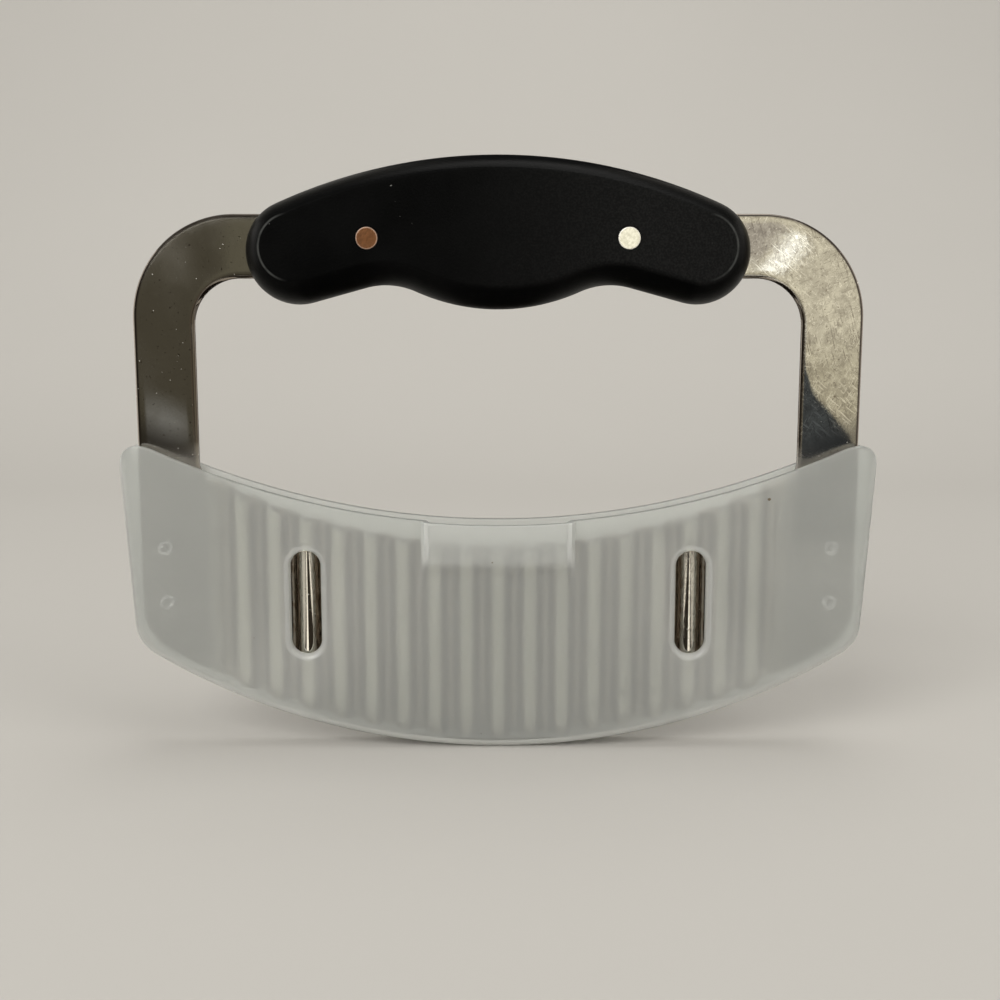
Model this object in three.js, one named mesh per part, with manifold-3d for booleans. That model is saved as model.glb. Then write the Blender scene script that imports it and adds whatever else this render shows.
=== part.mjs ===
// Crinkle cutter: a one-piece corrugated blade whose two arms run up into a riveted two-scale handle,
// standing in a translucent blade guard from which it lifts straight up.
// Millimetres. X runs along the cutting edge, Y through the blade (the front faces -Y), Z points up.
// The origin is the lowest point of the guard, below the middle of the cutting edge.

import * as THREE from 'three';
import { mergeVertices } from 'three/addons/utils/BufferGeometryUtils.js';
import Module from 'manifold-3d';

const wasm = await Module();
wasm.setup();

// Blade: heights are measured from the lowest point of the cutting edge
const SHEET = 1.4;
const BLADE_HALF_WIDTH = 78.2;
const EDGE_RADIUS = 144;
const BAND_HEIGHT = 43.2;
const BAND_TOP_RADIUS = 140;
const BEVEL_HEIGHT = 3.5;
const EDGE_LAND = 0.2;
const COINED_EDGE = 0.5;
const CORNER_ROUND = 6;

// Corrugation of the blade
const PITCH = 7;
const WAVE_DEPTH = 2.8;
const FLAT_MARGIN = 1.5;

// Arms and tangs of the blade
const ARM_WIDTH = 13.2;
const GRIP_HEIGHT = 107.45;
const TANG_WIDTH = 13.5;
const TANG_TIP_WIDTH = 10;
const TANG_TIP_X = 14;
const TANG_STRAIGHT = 5;
const OUTER_CORNER_RADIUS = 22.2;
const INNER_CORNER_RADIUS = 10;
const ARM_FILLET = 2;
const ARM_OVERLAP = 18;

// Handle: heights are measured from the middle of the tangs
const HANDLE_HALF_LENGTH = 53.4;
const HANDLE_HALF_THICKNESS = 9.5;
const HANDLE_PEAK = 18.85;
const HANDLE_TOP_RADIUS = 114.7;
const LOBE_RADIUS = 11;
const SCALLOP_X = 24;
const SCALLOP_DEPTH = 8.15;
const SCALLOP_RADIUS = 16;
const BELLY_DROP = 5.1;
const EDGE_INSET_TOP = 2.6;
const EDGE_INSET_BOTTOM = 4.6;
const EDGE_SWEEP = 68;
const SCALE_SEAM = 0.2;
const TANG_CLEARANCE = 0.15;
const CORE_WIDTH = 22;
const CORE_RIB = 2.4;
const CORE_WALL = 4.2;

// Rivets: a tubular socket from the front and a pin from the rear
const RIVET_X = 27;
const RIVET_RISE = 1.15;
const RIVET_HEAD_RADIUS = 2.35;
const RIVET_HEAD_THICKNESS = 1.6;
const RIVET_SHANK_RADIUS = 1.7;
const RIVET_PIN_RADIUS = 1.05;
const RIVET_SINK = 0.1;
const RIVET_CLEARANCE = 0.1;
const RIVET_TUBE_REACH = 4;

// Guard
const GUARD_FLOOR = 1.6;
const GUARD_WALL = 1.6;
const GUARD_END_WALL = 0.9;
const GUARD_SEAT = 0.4;
const GUARD_SIDE_CLEARANCE = 0.6;
const GUARD_END_CLEARANCE = 0.3;
const GUARD_DRAFT = 3.5;
const GUARD_CORNER_EASE = 1.5;
const GUARD_EDGE_FILLET = 2.4;
const GUARD_TOP_HEIGHT = 50.3;
const GUARD_TOP_RADIUS = 180;
const EAR_ROUND = 10;
const SLOT_WAVE = 6;
const SLOT_HEIGHT = 32.8;
const SLOT_LENGTH = 23;
const SLOT_WIDTH = 6.6;
const SLOT_RIM = 1.1;
const TAB_WIDTH = 32.6;
const TAB_HEIGHT = 10;
const TAB_FLARE = 2.4;
const TAB_CHEEK = 1.1;
const PIP_INSET = 6;
const PIP_HEIGHTS = [45, 33];
const PIP_RADIUS = 1.2;
const PIP_TIP_RADIUS = 0.8;
const PIP_CLEARANCE = 0.3;

// How finely curves are faceted
const STEPS_PER_BEND = 3;
const ARC_STEPS = 7;
const ROUND_STEPS = 24;
const RIM_STEPS = 2;
const OUTLINE_STEPS = 11;
const LOFT_STEPS = 6;
const OVERCUT = 1;

const ARM_INNER_X = BLADE_HALF_WIDTH - ARM_WIDTH;
const WAVES_EACH_SIDE = Math.floor((ARM_INNER_X - FLAT_MARGIN) / PITCH);
const WAVE_END_X = WAVES_EACH_SIDE * PITCH;
const RIVET_HEIGHT = GRIP_HEIGHT + RIVET_RISE;
const EDGE_Z = GUARD_FLOOR + GUARD_SEAT;
const CAVITY_HALF = (WAVE_DEPTH + SHEET) / 2 + GUARD_SIDE_CLEARANCE;
const GUARD_HALF = CAVITY_HALF + GUARD_WALL;
const GUARD_CORNER_ROUND = CORNER_ROUND - GUARD_CORNER_EASE;
const DRAFT_SLOPE = Math.tan(THREE.MathUtils.degToRad(GUARD_DRAFT));

// A closed geometry as a solid for joining and cutting
function solidOf(geometry) {
  const bare = geometry.clone();
  bare.deleteAttribute('normal');
  bare.deleteAttribute('uv');
  const welded = mergeVertices(bare);
  const vertProperties = new Float32Array(welded.attributes.position.array);
  const triVerts = new Uint32Array(welded.index.array);
  return new wasm.Manifold(new wasm.Mesh({ numProp: 3, vertProperties, triVerts }));
}

// A solid back as a geometry
function geometryOf(solid) {
  const { vertProperties, triVerts } = solid.getMesh();
  const geometry = new THREE.BufferGeometry();
  geometry.setAttribute('position', new THREE.BufferAttribute(vertProperties, 3));
  geometry.setIndex(new THREE.BufferAttribute(triVerts, 1));
  geometry.computeVertexNormals();
  return geometry;
}

function indexedGeometry(points, triangles) {
  const geometry = new THREE.BufferGeometry();
  geometry.setAttribute('position', new THREE.Float32BufferAttribute(points.flat(), 3));
  geometry.setIndex(triangles.flat());
  return geometry;
}

// The other hand of a geometry, mirrored in X, with its faces turned to point out again
function mirrored(geometry) {
  const copy = mergeVertices(geometry).scale(-1, 1, 1);
  const index = copy.index.array;
  for (let i = 0; i < index.length; i += 3) {
    [index[i + 1], index[i + 2]] = [index[i + 2], index[i + 1]];
  }
  return copy;
}

// An outline drawn in X and Z, given thickness from yFront to yBack, with rounded rims where asked
function plate(shape, yFront, yBack, rim = 0) {
  const geometry = new THREE.ExtrudeGeometry(shape, {
    depth: yBack - yFront - 2 * rim,
    curveSegments: ARC_STEPS,
    bevelEnabled: rim > 0,
    bevelThickness: rim,
    bevelSize: rim,
    bevelOffset: -rim,
    bevelSegments: RIM_STEPS,
  });
  geometry.rotateX(Math.PI / 2);
  geometry.translate(0, yBack - rim, 0);
  geometry.deleteAttribute('normal');
  geometry.deleteAttribute('uv');
  return geometry;
}

// A round bar along Y
function bar(x, z, radius, yFront, yBack) {
  const geometry = new THREE.CylinderGeometry(radius, radius, yBack - yFront, ROUND_STEPS);
  return geometry.translate(x, (yFront + yBack) / 2, z);
}

// Height of an upward-curving arc of the given radius above its lowest point
function sag(radius, x) {
  return radius - Math.sqrt(radius ** 2 - x ** 2);
}

// Middle line of the corrugated sheet, from left to right: each half wave is two equal arcs in an S
function waveColumns() {
  const half = PITCH / 2;
  const last = 2 * WAVES_EACH_SIDE;
  const level = (i) => (Math.abs(i) === last ? 0 : (i % 2 === 0 ? -1 : 1) * WAVE_DEPTH / 2);
  const columns = [];
  for (let i = -last; i < last; i += 1) {
    const rise = level(i + 1) - level(i);
    const way = Math.sign(rise);
    const bend = 2 * Math.atan(Math.abs(rise) / half);
    const radius = half / (2 * Math.sin(bend));
    for (let k = 0; k < 2 * STEPS_PER_BEND; k += 1) {
      const leaving = k < STEPS_PER_BEND;
      const turn = bend * (leaving ? k : 2 * STEPS_PER_BEND - k) / STEPS_PER_BEND;
      const along = radius * Math.sin(turn);
      const across = way * radius * (1 - Math.cos(turn));
      columns.push({
        x: leaving ? i * half + along : (i + 1) * half - along,
        y: leaving ? level(i) + across : level(i + 1) - across,
        nx: way * Math.sin(turn),
        ny: -Math.cos(turn),
      });
    }
  }
  return columns.map((column) => ({ ...column, foot: sag(EDGE_RADIUS, column.x) }));
}

// Columns of the flat right end, past the last wave, with the rounded lower corner
function endColumns() {
  const cornerAngle = Math.asin(BLADE_HALF_WIDTH / EDGE_RADIUS);
  const startX = EDGE_RADIUS * Math.sin(cornerAngle - CORNER_ROUND / EDGE_RADIUS);
  const corner = new THREE.Vector2(BLADE_HALF_WIDTH, sag(EDGE_RADIUS, BLADE_HALF_WIDTH));
  const rounding = new THREE.QuadraticBezierCurve(
    new THREE.Vector2(startX, sag(EDGE_RADIUS, startX)),
    corner,
    new THREE.Vector2(corner.x, corner.y + CORNER_ROUND),
  );
  const flat = { y: 0, nx: 0, ny: -1 };
  const columns = [{ ...flat, x: WAVE_END_X, foot: sag(EDGE_RADIUS, WAVE_END_X) }];
  for (const point of rounding.getPoints(ARC_STEPS)) {
    columns.push({ ...flat, x: point.x, foot: point.y });
  }
  return columns;
}

// The corrugated band: a sheet over its middle line, ground thin along the lower edge
function bandGeometry() {
  const right = endColumns();
  const left = right.map((column) => ({ ...column, x: -column.x })).reverse();
  const columns = [...left, ...waveColumns().slice(1), ...right];
  const sections = columns.map(({ x, foot }) => {
    const head = BAND_HEIGHT + sag(BAND_TOP_RADIUS, x);
    const full = SHEET / 2 - Math.max(0, Math.abs(x) - BLADE_HALF_WIDTH + COINED_EDGE);
    return [
      [foot, EDGE_LAND / 2],
      [foot + BEVEL_HEIGHT, full],
      [head - COINED_EDGE, full],
      [head, Math.min(full, SHEET / 2 - COINED_EDGE)],
    ];
  });
  const rows = sections[0].length;
  const points = columns.flatMap(({ x, y, nx, ny }, i) => sections[i].flatMap(([z, half]) => [
    [x + nx * half, y + ny * half, z],
    [x - nx * half, y - ny * half, z],
  ]));
  const front = (i, j) => 2 * (i * rows + j);
  const back = (i, j) => front(i, j) + 1;
  const triangles = [];
  const quad = (a, b, c, d) => triangles.push([a, b, c], [a, c, d]);
  const end = columns.length - 1;
  const top = rows - 1;
  for (let i = 0; i < end; i += 1) {
    for (let j = 0; j < top; j += 1) {
      quad(front(i, j), front(i + 1, j), front(i + 1, j + 1), front(i, j + 1));
      quad(back(i, j), back(i, j + 1), back(i + 1, j + 1), back(i + 1, j));
    }
    quad(front(i + 1, 0), front(i, 0), back(i, 0), back(i + 1, 0));
    quad(front(i, top), front(i + 1, top), back(i + 1, top), back(i, top));
  }
  for (let j = 0; j < top; j += 1) {
    quad(front(0, j), front(0, j + 1), back(0, j + 1), back(0, j));
    quad(front(end, j + 1), front(end, j), back(end, j), back(end, j + 1));
  }
  return indexedGeometry(points, triangles);
}

// Right arm and tang, in X and Z; grow widens it all round, for the pocket that takes it
function armShape(grow = 0) {
  const outer = BLADE_HALF_WIDTH + grow;
  const inner = ARM_INNER_X - grow;
  const top = GRIP_HEIGHT + TANG_WIDTH / 2 + grow;
  const bottom = GRIP_HEIGHT - TANG_WIDTH / 2 - grow;
  const tipTop = RIVET_HEIGHT + TANG_TIP_WIDTH / 2 + grow;
  const tipBottom = RIVET_HEIGHT - TANG_TIP_WIDTH / 2 - grow;
  const tipX = TANG_TIP_X - grow;
  const outerRadius = OUTER_CORNER_RADIUS + grow;
  const innerRadius = INNER_CORNER_RADIUS - grow;
  const taperX = Math.min(outer - outerRadius, inner - innerRadius) - TANG_STRAIGHT;
  const bandTop = BAND_HEIGHT + sag(BAND_TOP_RADIUS, ARM_INNER_X);
  const shape = new THREE.Shape();
  shape.moveTo(inner, bandTop - ARM_OVERLAP);
  shape.lineTo(outer, bandTop - ARM_OVERLAP);
  shape.absarc(outer - outerRadius, top - outerRadius, outerRadius, 0, Math.PI / 2, false);
  shape.lineTo(taperX, top);
  shape.lineTo(tipX + TANG_TIP_WIDTH / 2, tipTop);
  shape.quadraticCurveTo(tipX, tipTop, tipX, (tipTop + tipBottom) / 2);
  shape.quadraticCurveTo(tipX, tipBottom, tipX + TANG_TIP_WIDTH / 2, tipBottom);
  shape.lineTo(taperX, bottom);
  shape.absarc(inner - innerRadius, bottom - innerRadius, innerRadius, Math.PI / 2, 0, true);
  const filletX = inner - ARM_FILLET;
  shape.lineTo(inner, bandTop + ARM_FILLET);
  shape.quadraticCurveTo(inner, bandTop, filletX, BAND_HEIGHT + sag(BAND_TOP_RADIUS, filletX));
  shape.lineTo(filletX, bandTop - ARM_OVERLAP);
  return shape;
}

function bladeGeometry() {
  const arm = plate(armShape(), -SHEET / 2, SHEET / 2, COINED_EDGE);
  let blade = solidOf(bandGeometry());
  blade = blade.add(solidOf(arm));
  blade = blade.add(solidOf(mirrored(arm)));
  for (const x of [-RIVET_X, RIVET_X]) {
    const hole = bar(x, RIVET_HEIGHT, RIVET_SHANK_RADIUS + RIVET_CLEARANCE, -SHEET, SHEET);
    blade = blade.subtract(solidOf(hole));
  }
  return geometryOf(blade);
}

// Points along an arc in X and Z, each with the normal that points out of the handle
function outlineArc(x, z, radius, from, to, hollow = false) {
  const out = hollow ? -1 : 1;
  const points = [];
  for (let k = 0; k < OUTLINE_STEPS; k += 1) {
    const angle = THREE.MathUtils.lerp(from, to, k / OUTLINE_STEPS);
    const nx = Math.cos(angle);
    const nz = Math.sin(angle);
    points.push({ x: x + radius * nx, z: z + radius * nz, nx: out * nx, nz: out * nz });
  }
  return points;
}

// Silhouette of the handle, counter-clockwise from the middle of the belly: arcs that run into each other
function handleOutline() {
  const topCentre = GRIP_HEIGHT + HANDLE_PEAK - HANDLE_TOP_RADIUS;
  const lobeX = HANDLE_HALF_LENGTH - LOBE_RADIUS;
  const lobeZ = topCentre + Math.sqrt((HANDLE_TOP_RADIUS - LOBE_RADIUS) ** 2 - lobeX ** 2);
  const scallopTop = GRIP_HEIGHT - SCALLOP_DEPTH;
  const reach = lobeX - SCALLOP_X;
  const lift = lobeZ - scallopTop;
  const below = LOBE_RADIUS - lift;
  const widest = below > 0 ? (reach ** 2 + lift ** 2 - LOBE_RADIUS ** 2) / (2 * below) : SCALLOP_RADIUS;
  const scallopRadius = Math.min(SCALLOP_RADIUS, widest);
  const scallopZ = scallopTop - scallopRadius;
  const rest = scallopRadius - BELLY_DROP;
  const bellyRadius = (SCALLOP_X ** 2 + rest ** 2 - scallopRadius ** 2) / (2 * BELLY_DROP);
  const bellyZ = scallopTop - BELLY_DROP + bellyRadius;
  const bellyEnd = Math.atan2(scallopZ - bellyZ, SCALLOP_X);
  const apart = Math.hypot(reach, lobeZ - scallopZ);
  const lean = Math.acos(Math.min(1, (scallopRadius + LOBE_RADIUS) / apart));
  const slope = Math.atan2(lobeZ - scallopZ, reach) + lean;
  const lobeEnd = Math.atan2(lobeZ - topCentre, lobeX);
  const right = [
    ...outlineArc(0, bellyZ, bellyRadius, -Math.PI / 2, bellyEnd),
    ...outlineArc(SCALLOP_X, scallopZ, scallopRadius, bellyEnd + Math.PI, slope, true),
    ...outlineArc(lobeX, lobeZ, LOBE_RADIUS, slope - Math.PI, lobeEnd),
    ...outlineArc(0, topCentre, HANDLE_TOP_RADIUS, lobeEnd, Math.PI / 2),
  ];
  const peak = { x: 0, z: topCentre + HANDLE_TOP_RADIUS, nx: 0, nz: 1 };
  const left = right.slice(1).reverse().map((point) => ({ ...point, x: -point.x, nx: -point.nx }));
  return [...right, peak, ...left];
}

// One moulded handle half: the silhouette swept round to a flat face that ends in a crease
function scaleGeometry(side) {
  const outline = handleOutline();
  const sweep = THREE.MathUtils.degToRad(EDGE_SWEEP);
  const points = [];
  for (let k = 0; k <= LOFT_STEPS; k += 1) {
    const turn = sweep * k / LOFT_STEPS;
    const inset = (1 - Math.cos(turn)) / (1 - Math.cos(sweep));
    const depth = THREE.MathUtils.lerp(SCALE_SEAM / 2, HANDLE_HALF_THICKNESS, Math.sin(turn) / Math.sin(sweep));
    for (const { x, z, nx, nz } of outline) {
      const width = inset * THREE.MathUtils.lerp(EDGE_INSET_BOTTOM, EDGE_INSET_TOP, (nz + 1) / 2);
      points.push([x - nx * width, side * depth, z - nz * width]);
    }
  }
  const count = outline.length;
  const triangles = [];
  for (let k = 0; k < LOFT_STEPS; k += 1) {
    for (let i = 0; i < count; i += 1) {
      const a = k * count + i;
      const b = k * count + (i + 1) % count;
      triangles.push([a, b, b + count], [a, b + count, a + count]);
    }
  }
  const seamContour = outline.map(({ x, z }) => new THREE.Vector2(x, z));
  for (const [a, b, c] of THREE.ShapeUtils.triangulateShape(seamContour, [])) {
    triangles.push([a, c, b]);
  }
  const faceStart = LOFT_STEPS * count;
  const faceContour = points.slice(faceStart).map(([x, , z]) => new THREE.Vector2(x, z));
  for (const [a, b, c] of THREE.ShapeUtils.triangulateShape(faceContour, [])) {
    triangles.push([faceStart + a, faceStart + b, faceStart + c]);
  }
  const outward = side < 0 ? triangles : triangles.map(([a, b, c]) => [a, c, b]);
  return indexedGeometry(points, outward);
}

// A pocket that lightens a scale between the tangs, one of a pair with a rib between them
function corePocket(side, hand) {
  const inner = CORE_RIB / 2;
  const outer = CORE_WIDTH / 2;
  const bottom = GRIP_HEIGHT - SCALLOP_DEPTH - BELLY_DROP + CORE_WALL;
  const top = GRIP_HEIGHT + HANDLE_PEAK - CORE_WALL;
  const depth = HANDLE_HALF_THICKNESS - CORE_WALL;
  const outline = new THREE.Shape();
  outline.moveTo(hand * inner, bottom);
  outline.lineTo(hand * outer, bottom);
  outline.lineTo(hand * outer, top - CORE_RIB);
  outline.lineTo(hand * inner, top);
  return side < 0 ? plate(outline, -depth, OVERCUT) : plate(outline, -OVERCUT, depth);
}

function handleScale(side) {
  const face = HANDLE_HALF_THICKNESS;
  const pocket = plate(armShape(TANG_CLEARANCE), -SHEET / 2 - TANG_CLEARANCE, SHEET / 2 + TANG_CLEARANCE);
  let scale = solidOf(scaleGeometry(side));
  scale = scale.subtract(solidOf(pocket));
  scale = scale.subtract(solidOf(mirrored(pocket)));
  for (const hand of [-1, 1]) {
    const x = hand * RIVET_X;
    const seat = face - RIVET_SINK - RIVET_HEAD_THICKNESS - RIVET_CLEARANCE;
    const [from, to] = side < 0 ? [-face - OVERCUT, -seat] : [seat, face + OVERCUT];
    const [start, end] = side < 0 ? [-face - OVERCUT, OVERCUT] : [-OVERCUT, face + OVERCUT];
    scale = scale.subtract(solidOf(bar(x, RIVET_HEIGHT, RIVET_HEAD_RADIUS + RIVET_CLEARANCE, from, to)));
    scale = scale.subtract(solidOf(bar(x, RIVET_HEIGHT, RIVET_SHANK_RADIUS + RIVET_CLEARANCE, start, end)));
    scale = scale.subtract(solidOf(corePocket(side, hand)));
  }
  return geometryOf(scale);
}

// A turned piece along Y, from a profile of radius and Y that starts and ends on the axis
function turned(profile, x) {
  const points = profile.map(([radius, y]) => new THREE.Vector2(radius, y));
  const geometry = new THREE.LatheGeometry(points, ROUND_STEPS);
  geometry.deleteAttribute('normal');
  geometry.deleteAttribute('uv');
  return mergeVertices(geometry).translate(x, 0, RIVET_HEIGHT);
}

const RIVET_FACE = HANDLE_HALF_THICKNESS - RIVET_SINK;
const RIVET_SHOULDER = RIVET_FACE - RIVET_HEAD_THICKNESS;

// Front half of a rivet: a flush head with a tube that the pin enters
function rivetSocket(x) {
  const bore = RIVET_PIN_RADIUS + RIVET_CLEARANCE;
  return turned([
    [0, -RIVET_FACE],
    [RIVET_HEAD_RADIUS, -RIVET_FACE],
    [RIVET_HEAD_RADIUS, -RIVET_SHOULDER],
    [RIVET_SHANK_RADIUS, -RIVET_SHOULDER],
    [RIVET_SHANK_RADIUS, RIVET_TUBE_REACH],
    [bore, RIVET_TUBE_REACH],
    [bore, -RIVET_SHOULDER],
    [0, -RIVET_SHOULDER],
  ], x);
}

// Rear half of a rivet: the same head with the pin that fills the tube
function rivetPin(x) {
  return turned([
    [0, -RIVET_SHOULDER + RIVET_CLEARANCE],
    [RIVET_PIN_RADIUS, -RIVET_SHOULDER + RIVET_CLEARANCE],
    [RIVET_PIN_RADIUS, RIVET_SHOULDER],
    [RIVET_HEAD_RADIUS, RIVET_SHOULDER],
    [RIVET_HEAD_RADIUS, RIVET_FACE],
    [0, RIVET_FACE],
  ], x);
}

const ARC_CENTRE_Z = EDGE_Z + EDGE_RADIUS;

// X of a guard end at a height: the ends lean out from the lower corner, which is past the blade by "past"
function guardEnd(past, below, z) {
  const x = BLADE_HALF_WIDTH + past;
  const cornerZ = ARC_CENTRE_Z - Math.sqrt((EDGE_RADIUS + below) ** 2 - x ** 2);
  return x + (z - cornerZ) * DRAFT_SLOPE;
}

// Guard outline, open upwards: the edge's arc, rounded lower corners and the leaning ends
function sheathShape(past, below) {
  const tall = GUARD_TOP_HEIGHT + sag(GUARD_TOP_RADIUS, BLADE_HALF_WIDTH) + EAR_ROUND;
  const radius = EDGE_RADIUS + below;
  const x = BLADE_HALF_WIDTH + past;
  const cornerZ = ARC_CENTRE_Z - Math.sqrt(radius ** 2 - x ** 2);
  const swing = Math.asin(x / radius) - GUARD_CORNER_ROUND / radius;
  const sideZ = cornerZ + GUARD_CORNER_ROUND;
  const down = -Math.PI / 2;
  const startX = radius * Math.sin(swing);
  const startZ = ARC_CENTRE_Z - radius * Math.cos(swing);
  const shape = new THREE.Shape();
  shape.absarc(0, ARC_CENTRE_Z, radius, down - swing, down + swing, false);
  shape.quadraticCurveTo(x, cornerZ, guardEnd(past, below, sideZ), sideZ);
  shape.lineTo(guardEnd(past, below, tall), tall);
  shape.lineTo(-guardEnd(past, below, tall), tall);
  shape.lineTo(-guardEnd(past, below, sideZ), sideZ);
  shape.quadraticCurveTo(-x, cornerZ, -startX, startZ);
  return shape;
}

// What stays of the guard below its top edge: a shallow arc between two rounded ears
function topTrim(past, below) {
  const edgeZ = (x) => GUARD_TOP_HEIGHT + sag(GUARD_TOP_RADIUS, x);
  let earX = BLADE_HALF_WIDTH;
  for (let i = 0; i < ARC_STEPS; i += 1) {
    earX = guardEnd(past, below, edgeZ(earX));
  }
  const earZ = edgeZ(earX);
  const swing = Math.asin(earX / GUARD_TOP_RADIUS) - EAR_ROUND / GUARD_TOP_RADIUS;
  const centreZ = GUARD_TOP_HEIGHT + GUARD_TOP_RADIUS;
  const sideX = guardEnd(past, below, earZ - EAR_ROUND);
  const footX = guardEnd(past, below, -OVERCUT);
  const down = -Math.PI / 2;
  const startX = GUARD_TOP_RADIUS * Math.sin(swing);
  const startZ = centreZ - GUARD_TOP_RADIUS * Math.cos(swing);
  const shape = new THREE.Shape();
  shape.moveTo(-footX, -OVERCUT);
  shape.lineTo(footX, -OVERCUT);
  shape.lineTo(sideX, earZ - EAR_ROUND);
  shape.quadraticCurveTo(earX, earZ, startX, startZ);
  shape.absarc(0, centreZ, GUARD_TOP_RADIUS, down + swing, down - swing, true);
  shape.quadraticCurveTo(-earX, earZ, -sideX, earZ - EAR_ROUND);
  return shape;
}

// Thumb tab: a wedge of wall that leans out towards the top edge; shift moves it through the wall
function tabWedge(width, shift, inside) {
  const bottom = GUARD_TOP_HEIGHT - TAB_HEIGHT;
  const top = GUARD_TOP_HEIGHT + sag(GUARD_TOP_RADIUS, TAB_WIDTH / 2) + OVERCUT;
  const lean = TAB_FLARE * (top - bottom) / TAB_HEIGHT;
  const face = -GUARD_HALF + shift;
  const shape = new THREE.Shape();
  shape.moveTo(face, bottom);
  shape.lineTo(face + inside, bottom);
  shape.lineTo(face + inside, top);
  shape.lineTo(face - lean, top);
  const geometry = new THREE.ExtrudeGeometry(shape, { depth: width, bevelEnabled: false });
  geometry.rotateX(Math.PI / 2);
  geometry.rotateZ(Math.PI / 2);
  return geometry.translate(-width / 2, 0, 0);
}

// Upright slot with round ends
function slotShape(x, width, length) {
  const radius = width / 2;
  const rise = length / 2 - radius;
  const shape = new THREE.Shape();
  shape.absarc(x, SLOT_HEIGHT + rise, radius, 0, Math.PI, false);
  shape.absarc(x, SLOT_HEIGHT - rise, radius, Math.PI, 2 * Math.PI, false);
  return shape;
}

// Small tapered stop inside a wall, which keeps the flat end of the blade in the middle of the guard
function pip(x, z, side) {
  const tip = SHEET / 2 + PIP_CLEARANCE;
  const root = CAVITY_HALF + GUARD_WALL / 2;
  const geometry = new THREE.CylinderGeometry(PIP_TIP_RADIUS, PIP_RADIUS, root - tip, ROUND_STEPS / 2);
  geometry.translate(0, -(root + tip) / 2, 0);
  if (side > 0) {
    geometry.rotateX(Math.PI);
  }
  return geometry.translate(x, 0, z);
}

function guardGeometry() {
  const outerPast = GUARD_END_CLEARANCE + GUARD_END_WALL;
  const outerBelow = GUARD_SEAT + GUARD_FLOOR;
  const innerFillet = Math.max(0, GUARD_EDGE_FILLET - GUARD_WALL);
  const reach = GUARD_HALF + TAB_FLARE + OVERCUT;
  let guard = solidOf(plate(sheathShape(outerPast, outerBelow), -GUARD_HALF, GUARD_HALF, GUARD_EDGE_FILLET));
  guard = guard.add(solidOf(tabWedge(TAB_WIDTH, 0, GUARD_WALL / 2)));
  guard = guard.intersect(solidOf(plate(topTrim(outerPast, outerBelow), -reach, reach)));
  const cavity = sheathShape(GUARD_END_CLEARANCE, GUARD_SEAT);
  guard = guard.subtract(solidOf(plate(cavity, -CAVITY_HALF, CAVITY_HALF, innerFillet)));
  guard = guard.subtract(solidOf(tabWedge(TAB_WIDTH - 2 * TAB_CHEEK, GUARD_WALL, GUARD_WALL / 2)));
  for (const hand of [-1, 1]) {
    const x = hand * SLOT_WAVE * PITCH;
    const opening = plate(slotShape(x, SLOT_WIDTH, SLOT_LENGTH), -reach, 0);
    const rim = slotShape(x, SLOT_WIDTH + 2 * SLOT_RIM, SLOT_LENGTH + 2 * SLOT_RIM);
    guard = guard.subtract(solidOf(opening));
    guard = guard.subtract(solidOf(plate(rim, -reach, -GUARD_HALF + SLOT_RIM, SLOT_RIM)));
    for (const z of PIP_HEIGHTS) {
      for (const side of [-1, 1]) {
        guard = guard.add(solidOf(pip(hand * (BLADE_HALF_WIDTH - PIP_INSET), z, side)));
      }
    }
  }
  return geometryOf(guard);
}

function piece(name, geometry, material) {
  const mesh = new THREE.Mesh(geometry, new THREE.MeshStandardMaterial(material));
  mesh.name = name;
  return mesh;
}

const STEEL = { color: 0xb8b4aa, roughness: 0.28, metalness: 1 };
const RIVET_STEEL = { color: 0xc9bfb2, roughness: 0.35, metalness: 1 };
const BLACK_PLASTIC = { color: 0x141615, roughness: 0.42, metalness: 0 };
const MILKY_PLASTIC = { color: 0xd2d5cf, roughness: 0.45, metalness: 0, transparent: true, opacity: 0.6 };

const cutter = new THREE.Group();
cutter.position.z = EDGE_Z;
cutter.add(piece('crinkle_blade', bladeGeometry(), STEEL));
cutter.add(piece('front_handle_scale', handleScale(-1), BLACK_PLASTIC));
cutter.add(piece('rear_handle_scale', handleScale(1), BLACK_PLASTIC));
for (const [hand, x] of [['left', -RIVET_X], ['right', RIVET_X]]) {
  cutter.add(piece(`${hand}_rivet_socket`, rivetSocket(x), RIVET_STEEL));
  cutter.add(piece(`${hand}_rivet_pin`, rivetPin(x), RIVET_STEEL));
}

const crinkleCutter = new THREE.Group();
crinkleCutter.add(piece('blade_guard', guardGeometry(), MILKY_PLASTIC));
crinkleCutter.add(cutter);

export default crinkleCutter;
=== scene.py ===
import math

import bmesh
import bpy
import numpy as np
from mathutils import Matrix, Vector


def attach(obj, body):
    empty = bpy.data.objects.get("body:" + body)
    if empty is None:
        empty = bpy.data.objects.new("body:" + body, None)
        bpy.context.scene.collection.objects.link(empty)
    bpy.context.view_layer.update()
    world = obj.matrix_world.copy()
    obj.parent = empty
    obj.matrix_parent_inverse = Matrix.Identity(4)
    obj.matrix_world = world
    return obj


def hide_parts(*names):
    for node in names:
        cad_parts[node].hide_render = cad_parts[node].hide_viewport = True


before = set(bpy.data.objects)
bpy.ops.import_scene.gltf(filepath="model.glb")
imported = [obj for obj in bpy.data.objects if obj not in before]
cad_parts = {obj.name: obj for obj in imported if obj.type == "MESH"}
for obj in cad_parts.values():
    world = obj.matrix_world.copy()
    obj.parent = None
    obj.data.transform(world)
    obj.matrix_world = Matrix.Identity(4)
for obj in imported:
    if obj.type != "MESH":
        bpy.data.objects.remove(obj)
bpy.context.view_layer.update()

MM = 0.001

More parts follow.
